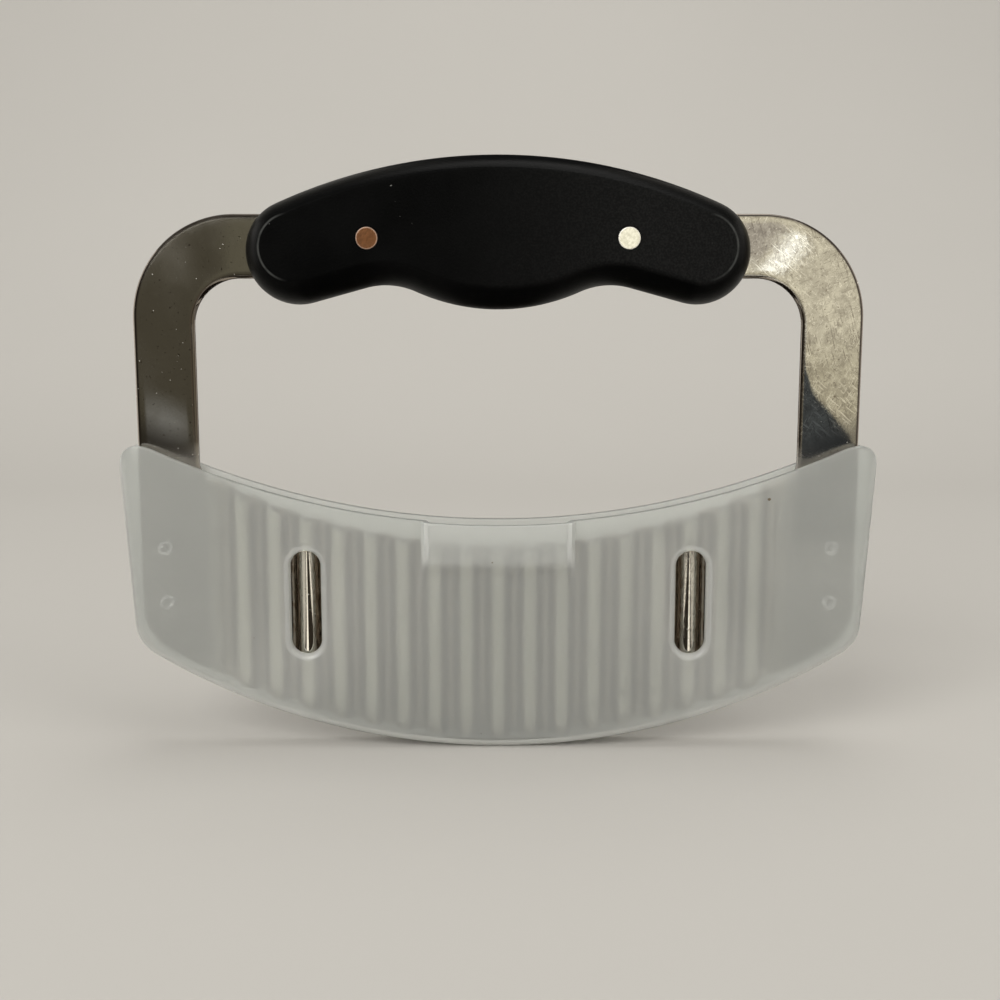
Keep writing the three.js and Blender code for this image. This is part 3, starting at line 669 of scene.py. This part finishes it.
def add_node(tree, kind, inputs, **settings):
    """A node with its settings and its inputs, each a value or another node's output."""
    node = tree.nodes.new(kind)
    for name, value in settings.items():
        setattr(node, name, value)
    for socket, value in inputs.items():
        if isinstance(value, bpy.types.NodeSocket):
            tree.links.new(value, node.inputs[socket])
        else:
            node.inputs[socket].default_value = value
    return node


def place(tree, stretch=(1, 1, 1), turn=(0, 0, 0), centre=(0, 0, 0)):
    """Object coordinates from a centre in metres, stretched along axes that are turned by degrees."""
    coordinates = add_node(tree, "ShaderNodeTexCoord", {}).outputs["Object"]
    rotation = [math.radians(angle) for angle in turn]
    inputs = {"Vector": coordinates, "Location": centre, "Rotation": rotation, "Scale": stretch}
    return add_node(tree, "ShaderNodeMapping", inputs, vector_type="TEXTURE").outputs["Vector"]


def axes_of(tree):
    """Object coordinates as three separate values."""
    coordinates = add_node(tree, "ShaderNodeTexCoord", {}).outputs["Object"]
    axes = add_node(tree, "ShaderNodeSeparateXYZ", {"Vector": coordinates}).outputs
    return axes["X"], axes["Y"], axes["Z"]


def noise(tree, scale, detail=3, stretch=(1, 1, 1), turn=(0, 0, 0), grit=0.5, swirl=0.0):
    """Noise whose features are about 1/scale metres, with finer ones as strong as the grit says."""
    inputs = {"Vector": place(tree, stretch, turn), "Scale": scale, "Detail": detail, "Roughness": grit,
              "Distortion": swirl}
    return add_node(tree, "ShaderNodeTexNoise", inputs).outputs["Fac"]


def spread(tree, value, low, high, to_low=0.0, to_high=1.0):
    """A value between two limits, turned into a value between two others."""
    inputs = {"Value": value, "From Min": low, "From Max": high, "To Min": to_low, "To Max": to_high}
    return add_node(tree, "ShaderNodeMapRange", inputs).outputs["Result"]


def between(tree, length, low, high, to_low=0.0, to_high=1.0):
    """As spread, for a length whose two limits are in millimetres."""
    return spread(tree, length, low * MM, high * MM, to_low, to_high)


def maths(tree, operation, first, *others):
    """An operation done to one value, or carried through a row of values."""
    for other in others or (0.0,):
        first = add_node(tree, "ShaderNodeMath", {0: first, 1: other}, operation=operation).outputs[0]
    return first


def product(tree, *values):
    return maths(tree, "MULTIPLY", *values)


def length_of(tree, vector):
    return add_node(tree, "ShaderNodeVectorMath", {0: vector}, operation="LENGTH").outputs["Value"]


def distance_from(tree, along, z, at_x, at_z, half_length=0.0):
    """Distance in the plane from an upright line, whose place and half length are in millimetres."""
    up = maths(tree, "ABSOLUTE", maths(tree, "SUBTRACT", z, at_z * MM))
    up = maths(tree, "MAXIMUM", maths(tree, "SUBTRACT", up, half_length * MM), 0.0)
    off = maths(tree, "SUBTRACT", along, at_x * MM)
    return length_of(tree, add_node(tree, "ShaderNodeCombineXYZ", {"X": off, "Y": up}).outputs[0])


def above_curve(tree, along, z, height, radius, bulge):
    """Height above a parabola that rises to both sides, close to an arc of the radius."""
    curve = product(tree, along, along, bulge / (radius * MM))
    return maths(tree, "SUBTRACT", z, curve, height * MM)


def blend_colour(tree, share, one, other):
    """A colour between two, each three numbers or another node's output."""
    one, other = (c if isinstance(c, bpy.types.NodeSocket) else (*c, 1) for c in (one, other))
    inputs = {"Factor": share, MIX_ONE: one, MIX_OTHER: other}
    return add_node(tree, "ShaderNodeMix", inputs, data_type="RGBA").outputs[MIX_RESULT]


def painted(tree, colour, layers):
    """A colour with layers over it, each a mask and the colour there."""
    for mask, there in layers:
        colour = blend_colour(tree, mask, colour, there)
    return colour


def roughened(tree, rough, layers):
    """A roughness with layers that raise it, each a mask and an amount."""
    for mask, amount in layers:
        rough = maths(tree, "ADD", rough, product(tree, mask, amount))
    return rough


def bump(tree, height, strength, depth):
    """A normal from a height, with its depth in millimetres."""
    inputs = {"Height": height, "Strength": strength, "Distance": depth * MM}
    return add_node(tree, "ShaderNodeBump", inputs).outputs["Normal"]


# Steel of the blade: where its masks fade in, in millimetres, the bulge of two curves and the least wear
BAND_FADE = (68, 64)
FLANK_FADE = (1.9, 1.4)
DULL_FADE = (41.5, 47)
# Painted shade on the flat ends, where the guard covers them: where it fades in towards the ends, and below
# the guard's top edge, with that curve's bulge
END_SHADE_FADE = (60, 64)
FOOT_SHADE_FADE, FOOT_BULGE = (8, 2.5), 0.5
# Painted shade on the band's top edge, which keeps glints off it: where it fades in, and the bulge of its
# curve
TOP_SHADE_FADE, TOP_BULGE = (-1.4, -0.7), 0.515
EDGE_START, EDGE_LEFT, EDGE_RIGHT = 0.695, 0.66, 0.58
EDGE_SPAN = (-20, 20)
WEAR_SPAN, WEAR_LEAST = (-50, 30), 0.1


def scratches(tree, scale, length, turn, amount):
    """Sparse thin scratches in one direction."""
    lines = noise(tree, scale, 1, (1, 1, length), (0, turn, 0))
    patches = spread(tree, noise(tree, 55, 2, turn=(0, turn, 0)), 0.4, 0.62)
    return product(tree, spread(tree, lines, 0.66 - amount, 0.7 - amount), patches)


def blade_zones(tree):
    """Masks of the blade: waves' flanks, arms' cut edges, dull part, and the painted shade on the flat ends
    under the guard and on the band's top edge.
    """
    x, y, z = axes_of(tree)
    along, across = maths(tree, "ABSOLUTE", x), maths(tree, "ABSOLUTE", y)
    band, arms = between(tree, z, *BAND_FADE), between(tree, z, *BAND_FADE[::-1])
    waved = between(tree, along, WAVES_EACH_SIDE * PITCH, (WAVES_EACH_SIDE - 0.5) * PITCH)
    flanks = product(tree, between(tree, across, *FLANK_FADE), waved, band)
    edge_full = between(tree, x, *EDGE_SPAN, EDGE_LEFT * MM, EDGE_RIGHT * MM)
    edges = product(tree, spread(tree, across, EDGE_START * MM, edge_full), arms)
    dull = product(tree, between(tree, z, *DULL_FADE), band)
    # Painted shade: the flat ends are darker where the guard covers them
    foot = above_curve(tree, along, z, GUARD_TOP_HEIGHT, GUARD_TOP_RADIUS, FOOT_BULGE)
    ends = product(tree, between(tree, along, *END_SHADE_FADE), between(tree, foot, *FOOT_SHADE_FADE))
    # Painted shade: the band's top edge is darker, against glints
    rise = above_curve(tree, along, z, BAND_HEIGHT + EDGE_Z, BAND_TOP_RADIUS, TOP_BULGE)
    top = product(tree, between(tree, rise, *TOP_SHADE_FADE), waved, band)
    return flanks, edges, dull, ends, top


def handling_marks(tree, wear):
    """Masks of bright and of dark marks: scratches both ways, with flecks or smears among them."""
    flecks = spread(tree, noise(tree, 1300, 6, grit=0.72, swirl=1.2), 0.55, 0.64)
    bright = maths(tree, "MAXIMUM", scratches(tree, 4200, 14, 28, 0.03),
                   scratches(tree, 3600, 10, -50, 0.03), flecks)
    smears = spread(tree, noise(tree, 900, 6, turn=(0, 70, 0), grit=0.72, swirl=1.0), 0.57, 0.66)
    dark = maths(tree, "MAXIMUM", scratches(tree, 3600, 12, -15, 0.05),
                 scratches(tree, 4400, 9, 66, 0.04), smears)
    return product(tree, bright, wear), product(tree, dark, wear)


def steel_material():
    """Stamped stainless steel, hazy, with darker flanks and hollows on its waves, tarnish stains there and
    more handling marks towards the right; painted shade darkens the flat ends under the guard and the band's
    top edge.
    """
    material, tree = new_material("blade_steel_finish_and_painted_shade", Metallic=1.0)
    flanks, edges, dull, ends, top = blade_zones(tree)
    wear = between(tree, axes_of(tree)[0], *WEAR_SPAN, WEAR_LEAST, 1.0)
    clouds = spread(tree, noise(tree, 170, 2), 0.45, 0.62, 0.0, 0.7)
    fine = spread(tree, noise(tree, 480, 9, grit=0.7), 0.4, 0.6)
    mottle = product(tree, maths(tree, "MAXIMUM", clouds, fine), wear)
    bright, dark = handling_marks(tree, wear)
    pits = spread(tree, noise(tree, 1900, 2), 0.69, 0.74)
    dust = spread(tree, noise(tree, 1700, 1, turn=(0, 40, 0)), 0.76, 0.8)
    stains = product(tree, flanks, spread(tree, noise(tree, 1400, 4, (1, 1, 3)), 0.48, 0.62))
    colour = blend_colour(tree, mottle, (0.77, 0.745, 0.66), (0.5, 0.475, 0.42))
    # Of these layers, ends and top are painted shade
    colour = painted(tree, colour, (
        (dark, (0.33, 0.305, 0.265)), (bright, (0.93, 0.905, 0.82)), (flanks, (0.4, 0.36, 0.31)),
        (ends, (0.32, 0.305, 0.28)), (top, (0.34, 0.325, 0.3)), (stains, (0.24, 0.19, 0.145)),
        (edges, (0.16, 0.14, 0.12)), (pits, (0.2, 0.16, 0.12)), (dust, (0.8, 0.78, 0.72))))
    haze = spread(tree, noise(tree, 70, 4), 0.38, 0.7, 0.05, 0.13)
    rough = roughened(tree, haze, ((dust, 0.4), (bright, 0.06), (dull, 0.22), (top, 0.25)))
    connect(tree, Base_Color=colour, Roughness=rough, Normal=bump(tree, mottle, 0.03, 0.2))
    return material


# Steel of the rivets, in millimetres: width of the pale edge, a painted highlight, and where the left rivet's
# painted reflection gives way to the right's steel
RIVET_HIGHLIGHT_RING = 0.4
RIVET_SIDES = (-1, 1)


def rivet_material():
    """Ground flush steel heads with a rougher edge made pale by a painted highlight; the left rivet's coppery
    colour is a painted reflection of warm surroundings.
    """
    material, tree = new_material("rivet_finish_and_painted_light", Metallic=1.0)
    x, _, z = axes_of(tree)
    lines = noise(tree, 3200, 2, (1, 1, 30), (0, 35, 0))
    patches = spread(tree, noise(tree, 1300, 5), 0.4, 0.62)
    reach = distance_from(tree, maths(tree, "ABSOLUTE", x), z, RIVET_X, RIVET_HEIGHT + EDGE_Z)
    # Painted highlight: the rough edge of each head is also paler
    rough_rim_highlight = between(tree, reach, RIVET_HEAD_RADIUS - RIVET_HIGHLIGHT_RING, RIVET_HEAD_RADIUS - RIVET_HIGHLIGHT_RING / 2)
    steel = blend_colour(tree, patches, (0.82, 0.8, 0.68), (0.66, 0.64, 0.53))
    steel = blend_colour(tree, rough_rim_highlight, steel, (0.95, 0.93, 0.86))
    # Painted reflection: the left rivet's coppery colour stands for warm surroundings reflected in it
    copper_reflection = blend_colour(tree, patches, (0.82, 0.4, 0.19), (0.7, 0.33, 0.16))
    copper_reflection = blend_colour(tree, rough_rim_highlight, copper_reflection, (0.36, 0.26, 0.21))
    colour = blend_colour(tree, between(tree, x, *RIVET_SIDES), copper_reflection, steel)
    rough = roughened(tree, spread(tree, lines, 0.3, 0.7, 0.08, 0.16), [(rough_rim_highlight, 0.32)])
    connect(tree, Base_Color=colour, Roughness=rough, Normal=bump(tree, lines, 0.1, 0.1))
    return material


# Plastic of the handle, in millimetres: the painted sheen on its faces, the paler tip at the left tang, and
# the painted highlight on the crease
FACE_SHEEN_X, FACE_SHEEN_DEPTH = (-10, 30), (8.8, 9.4)
PALE_TIP_X, PALE_TIP_DEPTH = (-50.5, -53.2), (5.5, 1.5)
# The painted highlight on the crease: its width, and where it fades in past the centre of each end's rounding
CREASE_LINE = 0.3
CREASE_FADE = (1, 5)


def pale_tang_tip(tree, x, across):
    """Paler, patchy colour on the handle where the left tang goes in."""
    patches = spread(tree, noise(tree, 900, 4), 0.4, 0.7)
    return product(tree, between(tree, x, *PALE_TIP_X), between(tree, across, *PALE_TIP_DEPTH), patches)


def painted_crease_highlight(tree, x, z):
    """A thin painted highlight along the crease round both ends of the handle's faces, in patches."""
    along = maths(tree, "ABSOLUTE", x)
    lobe_x, lobe_z = handle_lobe()
    lobe_z += EDGE_Z
    reach = distance_from(tree, along, z, lobe_x, lobe_z)
    rise = maths(tree, "DIVIDE", maths(tree, "SUBTRACT", z, lobe_z * MM), reach)
    low, high = ((LOBE_RADIUS - inset) * MM for inset in (EDGE_INSET_BOTTOM, EDGE_INSET_TOP))
    off = maths(tree, "ABSOLUTE", maths(tree, "SUBTRACT", reach, spread(tree, rise, -1, 1, low, high)))
    line = between(tree, off, CREASE_LINE, CREASE_LINE / 3)
    outside = between(tree, along, *(lobe_x + past for past in CREASE_FADE))
    patches = spread(tree, noise(tree, 500, 3), 0.3, 0.6, 0.4, 1.0)
    return product(tree, line, outside, patches)


def handle_material():
    """Satin black moulded plastic with a fine grain, dust, rubbed patches and a paler tip at the left tang; a
    painted sheen makes its faces greyer towards the right, and a painted highlight runs along the crease at
    both ends.
    """
    material, tree = new_material("black_plastic_finish_and_painted_light", Specular_IOR_Level=0.035)
    x, y, z = axes_of(tree)
    across = maths(tree, "ABSOLUTE", y)
    rubbed = spread(tree, noise(tree, 60, 4), 0.35, 0.7)
    grain = noise(tree, 2600, 2)
    dust = spread(tree, noise(tree, 1300, 1), 0.825, 0.84)
    # Painted sheen: the faces turn greyer, with grain, towards the right
    face_sheen = product(tree, between(tree, x, *FACE_SHEEN_X), between(tree, across, *FACE_SHEEN_DEPTH))
    sheen_greys = (0.0055, 0.0057, 0.0057), (0.0105, 0.0107, 0.0105)
    sheen_grey = blend_colour(tree, spread(tree, grain, 0.4, 0.65), *sheen_greys)
    colour = blend_colour(tree, rubbed, (0.001, 0.0011, 0.0011), (0.0022, 0.0023, 0.0023))
    # Painted light in these layers: the sheen on the faces and the highlight on the crease
    colour = painted(tree, colour, (
        (face_sheen, sheen_grey), (dust, (0.16, 0.16, 0.15)), (painted_crease_highlight(tree, x, z), (0.05, 0.052, 0.05)),
        (pale_tang_tip(tree, x, across), (0.09, 0.094, 0.08))))
    rough = spread(tree, rubbed, 0, 1, 0.28, 0.36)
    connect(tree, Base_Color=colour, Roughness=rough, Normal=bump(tree, grain, 0.25, 0.2))
    return material


# Plastic of the guard: how white its pale places look, as painted highlights, and where they fade in, in
# millimetres
CHEEK_WHITENESS, TAB_WHITENESS, RIM_WHITENESS, PIP_WHITENESS = 0.7, 0.35, 0.3, 0.19
FRONT_FADE = (-2.8, -3.3)
CHEEK_FADE, CHEEK_RISE = (1.1, 0.6), 3
TAB_FADE, TAB_RISE = 0.5, 2
RIM_FADE = 0.3
PIP_FADE = (0.5, 0.2)


def tab_highlight(tree, along, z):
    """How white the thumb tab looks, most of all on its two edges: a painted highlight."""
    edge_x, tab_z = TAB_HALF_WIDTH - TAB_CHEEK / 2, GUARD_TOP_HEIGHT - TAB_HEIGHT
    off = maths(tree, "ABSOLUTE", maths(tree, "SUBTRACT", along, edge_x * MM))
    cheek = product(tree, between(tree, off, *CHEEK_FADE, 0, CHEEK_WHITENESS),
                    between(tree, z, tab_z, tab_z + CHEEK_RISE))
    face = product(tree, between(tree, along, edge_x, edge_x - TAB_FADE),
                   between(tree, z, tab_z, tab_z + TAB_RISE, 0, TAB_WHITENESS))
    return maths(tree, "MAXIMUM", cheek, face)


def guard_zones(tree):
    """How white the milky plastic looks on the tab, the slots' rims and the pips, as painted highlights, and
    the pips' outlines.
    """
    x, y, z = axes_of(tree)
    along = maths(tree, "ABSOLUTE", x)
    slot = distance_from(tree, along, z, SLOT_X, SLOT_HEIGHT, (SLOT_LENGTH - SLOT_WIDTH) / 2)
    reach = SLOT_WIDTH / 2 + SLOT_FLARE
    rim = between(tree, slot, reach + RIM_FADE, reach, 0, RIM_WHITENESS)
    edges = maths(tree, "MAXIMUM", tab_highlight(tree, along, z), rim)
    front = product(tree, edges, between(tree, y, *FRONT_FADE))
    pips = [distance_from(tree, along, z, PIP_X, height) for height in PIP_HEIGHTS]
    off = maths(tree, "SUBTRACT", maths(tree, "MINIMUM", *pips), PIP_RADIUS * MM)
    pip = between(tree, maths(tree, "ABSOLUTE", off), *PIP_FADE)
    return maths(tree, "MAXIMUM", front, product(tree, pip, PIP_WHITENESS)), pip


def guard_material():
    """Milky translucent plastic, slightly cloudy, with a speck or two of dirt, and whiter where it is made
    less clear for painted highlights.
    """
    material, tree = new_material("milky_plastic_finish_and_painted_highlights", IOR=1.49, Coat_Weight=0.3, Coat_Roughness=0.14)
    white, pip = guard_zones(tree)
    cloud = noise(tree, 45, 3)
    specks = spread(tree, noise(tree, 420, 0), 0.87, 0.89)
    colour = blend_colour(tree, cloud, (0.78, 0.802, 0.78), (0.87, 0.888, 0.866))
    colour = blend_colour(tree, specks, colour, (0.2, 0.13, 0.06))
    # Painted highlights: less clear, and so whiter, on the tab, the slots' rims and the pips
    clear = spread(tree, white, 0, 1, 0.8, 0.35)
    rough = spread(tree, cloud, 0.3, 0.7, 0.28, 0.33)
    connect(tree, Base_Color=colour, Roughness=rough, Transmission_Weight=clear,
            Normal=bump(tree, pip, 0.07, 0.1))
    return material


# Stage, in millimetres
FLOOR_COLUMNS = (-8000, -1000, 0, 1000, 8000)
FLOOR_ROWS = (-8000, -1000, 0)
# Where the floor's painted light brightens towards the wall
FLOOR_LIGHT_FADE = (-150, 700)
WALL_START, WALL_CURVE, WALL_TOP = 420, 700, 3000


def floor_material():
    """Matte and pale, with painted light: a little lighter towards the wall."""
    material, tree = new_material("pale_floor", Roughness=0.9, Specular_IOR_Level=0.0)
    cloud = noise(tree, 3, 2)
    near = blend_colour(tree, cloud, (0.495, 0.482, 0.455), (0.52, 0.507, 0.48))
    far = blend_colour(tree, cloud, (0.58, 0.565, 0.535), (0.61, 0.595, 0.565))
    back = between(tree, axes_of(tree)[1], *FLOOR_LIGHT_FADE)
    connect(tree, Base_Color=blend_colour(tree, back, near, far))
    return material


def sheet_object(name, rows):
    """An open sheet from rows of points."""
    rows = np.array(rows, float)
    index = np.arange(rows.shape[0] * rows.shape[1]).reshape(rows.shape[:2])
    return mesh_object(name, rows.reshape(-1, 3), grid_quads(index))


def backdrop():
    """Pale floor that curves up into a wall behind the object."""
    turn = np.linspace(0, math.pi / 2, CARD_POINTS)
    profile = [(y, 0) for y in FLOOR_ROWS]
    profile += [(WALL_START + WALL_CURVE * math.sin(a), WALL_CURVE * (1 - math.cos(a))) for a in turn]
    profile.append((WALL_START + WALL_CURVE, WALL_TOP))
    obj = sheet_object("backdrop", [[(x, y, z) for x in FLOOR_COLUMNS] for y, z in profile])
    obj.data.materials.append(floor_material())
    obj.data.shade_smooth()


# Cards that only reflections see, in millimetres
DARK, BLACK = (0.068, 0.06, 0.045), (0.03, 0.03, 0.03)

# Upright curved cards: azimuths in degrees from the front, heights, radius, colour and any strength but 1
CURVED_CARDS = {
    "left_strip": ((-124, -71), (0, 400), 520, (1.0, 0.97, 0.92), 2.0),
    "dark_left": ((-62, -13), (0, 700), 520, DARK),
    "olive_card": ((-18.5, -14), (98, 190), 517, (0.115, 0.105, 0.078)),
    "haze_card": ((-29, -17), (5, 75), 515, DARK),
    "brown_card": ((-13, -2), (0, 500), 520, (0.1, 0.08, 0.06)),
    "rivet_card": ((-10.4, -6.8), (118, 168), 515, (0.62, 0.58, 0.52), 0.36),
    "grey_card": ((-2, 8), (0, 90), 520, (0.2, 0.185, 0.15)),
    "white_card": ((-2, 14), (90, 500), 520, (1.0, 0.97, 0.88), 1.2),
    "low_card": ((8, 45), (0, 75), 520, (0.56, 0.515, 0.4)),
    "high_card": ((14, 45), (75, 500), 520, (0.8, 0.75, 0.62)),
    "dark_right": ((45, 72), (0, 700), 520, (0.22, 0.19, 0.165)),
    "right_strip": ((72, 125), (0, 400), 520, (1.0, 0.95, 0.88), 1.5),
}

# A pale oval on the haze card, for the foot of the left arm: centre, reach along its axes, lean in degrees
HAZE_CENTRE, HAZE_REACH, HAZE_LEAN = (-199, -476, 33), (30, 1000, 15), 35
HAZE_PALE = (0.24, 0.24, 0.24)

# Upright flat cards, near the right arm and behind the handle: corners in X and Z, Y, colour, strength
DARK_CORNERS = ((66, 87), (68.8, 81.8), (71.7, 76.6), (75.1, 73.1), (79.9, 67.5), (82, 64.5),
                (82, 45), (66, 45))
LAMP_CORNERS = ((66.4, 105.1), (70.5, 104.8), (79, 112.4), (78, 117), (76, 115.5))
PATCH_CORNERS = ((60, 110.5), (66, 108), (75.5, 117.5), (74, 121), (60, 121))
BEHIND_CORNERS = ((-125, 0), (125, 0), (125, 95), (-125, 95))
ABOVE_CORNERS = ((-100, 95), (140, 95), (140, 900), (-100, 900))
FLAT_CARDS = {
    "dark_corner": (DARK_CORNERS, -12, (0.066, 0.073, 0.079)),
    "dark_behind": (BEHIND_CORNERS, 400, BLACK),
    "dark_above": (ABOVE_CORNERS, 400, BLACK),
    "grey_patch": (PATCH_CORNERS, -61, (0.52, 0.48, 0.43)),
    "lamp_strip": (LAMP_CORNERS, -60, (0.99, 1.0, 0.97), 1.8),
}

# Cards on the floor: X and Y ranges, colour and strength; those for the slots lie on both sides
FLOOR_CARD_LIFT = 0.5
SLOT_REACH = (-340, -45)
FLOOR_CARDS = {
    "dark_middle": ((-44, 44), (-340, 250), (0.03, 0.024, 0.018)),
    "dark_foot": ((-300, -100), (-520, -250), DARK),
}
SLOT_CARDS = {
    "bright_slot": ((44, 74), SLOT_REACH, (1.0, 0.95, 0.86), 1.3),
    "dark_slot": ((74, 95), SLOT_REACH, (0.05, 0.04, 0.03)),
}


def glow_material(name, colour, strength):
    material = bpy.data.materials.new(name)
    material.use_nodes = True
    tree = material.node_tree
    tree.nodes.clear()
    glow = add_node(tree, "ShaderNodeEmission", {"Color": (*colour, 1), "Strength": strength})
    add_node(tree, "ShaderNodeOutputMaterial", {"Surface": glow.outputs[0]})
    return material


def add_haze(tree):
    """Makes a glow paler towards the middle of a leaning oval."""
    reach, centre = ([value * MM for value in values] for values in (HAZE_REACH, HAZE_CENTRE))
    oval = place(tree, reach, (0, HAZE_LEAN, 0), centre)
    colour = blend_colour(tree, spread(tree, length_of(tree, oval), 1, 0), DARK, HAZE_PALE)
    tree.links.new(colour, tree.nodes["Emission"].inputs["Color"])


def reflections_only(obj, colour, strength):
    """Makes a card glow, and hides it from all but reflections."""
    obj.data.materials.append(glow_material(obj.name, colour, strength))
    for kind in ("camera", "diffuse", "transmission", "volume_scatter", "shadow"):
        setattr(obj, f"visible_{kind}", False)


def curved_card(name, azimuths, heights, radius, colour, strength=1):
    turn = np.radians(np.linspace(*azimuths, CARD_POINTS))
    rows = [[(radius * math.sin(a), -radius * math.cos(a), z) for a in turn] for z in heights]
    reflections_only(sheet_object(name, rows), colour, strength)


def flat_card(name, corners, y, colour, strength=1):
    obj = mesh_object(name, [(x, y, z) for x, z in corners], [range(len(corners))])
    reflections_only(obj, colour, strength)


def floor_card(name, x_range, y_range, colour, strength=1):
    rows = [[(x, y, FLOOR_CARD_LIFT) for x in x_range] for y in y_range]
    reflections_only(sheet_object(name, rows), colour, strength)


def add_cards():
    for add_card, cards in ((curved_card, CURVED_CARDS), (flat_card, FLAT_CARDS), (floor_card, FLOOR_CARDS)):
        for name, values in cards.items():
            add_card(name, *values)
    for hand, way in (("left", -1), ("right", 1)):
        for name, (x_range, *values) in SLOT_CARDS.items():
            floor_card(f"{name}_{hand}", [way * x for x in x_range], *values)
    add_haze(bpy.data.materials["haze_card"].node_tree)


# Lights: place, target and size in metres, watts and colour
LIGHTS = {
    "key": ((-0.65, -1.15, 0.8), (0, 0.1, 0.1), (0.9, 0.9), 15.5, (1.0, 0.98, 0.95)),
    "top": ((0.15, 0.1, 1.3), (0, 0, 0.06), (1.0, 0.8), 6, (1.0, 0.98, 0.95)),
    "fill": ((0.9, -0.7, 0.7), (0, 0, 0.06), (0.7, 0.7), 4, (1.0, 0.97, 0.93)),
}
WORLD_COLOUR, WORLD_STRENGTH = (0.86, 0.84, 0.795, 1), 0.47

# Camera: place and nearest distance in metres, tilt, lens and sensor in millimetres
CAMERA_PLACE, CAMERA_NEAREST = (0.0004, -0.2707, 0.094), 0.01
CAMERA_TILT = math.radians(81.8)
LENS, SENSOR = 45, 36


def area_light(name, spot, target, size, watts, colour):
    light = bpy.data.lights.new(name, "AREA")
    light.shape = "RECTANGLE"
    light.size, light.size_y = size
    light.energy = watts
    light.color = colour
    obj = bpy.data.objects.new(name, light)
    obj.location = spot
    obj.rotation_euler = (Vector(target) - Vector(spot)).to_track_quat("-Z", "Y").to_euler()
    bpy.context.collection.objects.link(obj)


def light_scene():
    for name, values in LIGHTS.items():
        area_light(name, *values)
    world = bpy.data.worlds.new("studio")
    world.use_nodes = True
    background = world.node_tree.nodes["Background"]
    background.inputs["Color"].default_value = WORLD_COLOUR
    background.inputs["Strength"].default_value = WORLD_STRENGTH
    bpy.context.scene.world = world


def add_camera():
    camera = bpy.data.cameras.new("camera")
    camera.lens = LENS
    camera.sensor_width = SENSOR
    camera.clip_start = CAMERA_NEAREST
    obj = bpy.data.objects.new("camera", camera)
    obj.location = CAMERA_PLACE
    obj.rotation_euler = (CAMERA_TILT, 0, 0)
    bpy.context.collection.objects.link(obj)
    bpy.context.scene.camera = obj


def build():
    plastic = handle_material()
    blade_piece(steel_material())
    scale_piece("front_handle_scale", -1, plastic)
    scale_piece("rear_handle_scale", 1, plastic)
    rivet_pieces(rivet_material())
    guard_piece(guard_material())
    backdrop()
    light_scene()
    add_cards()
    add_camera()
    bpy.context.scene.view_settings.view_transform = "Standard"


build()
bpy.context.view_layer.update()
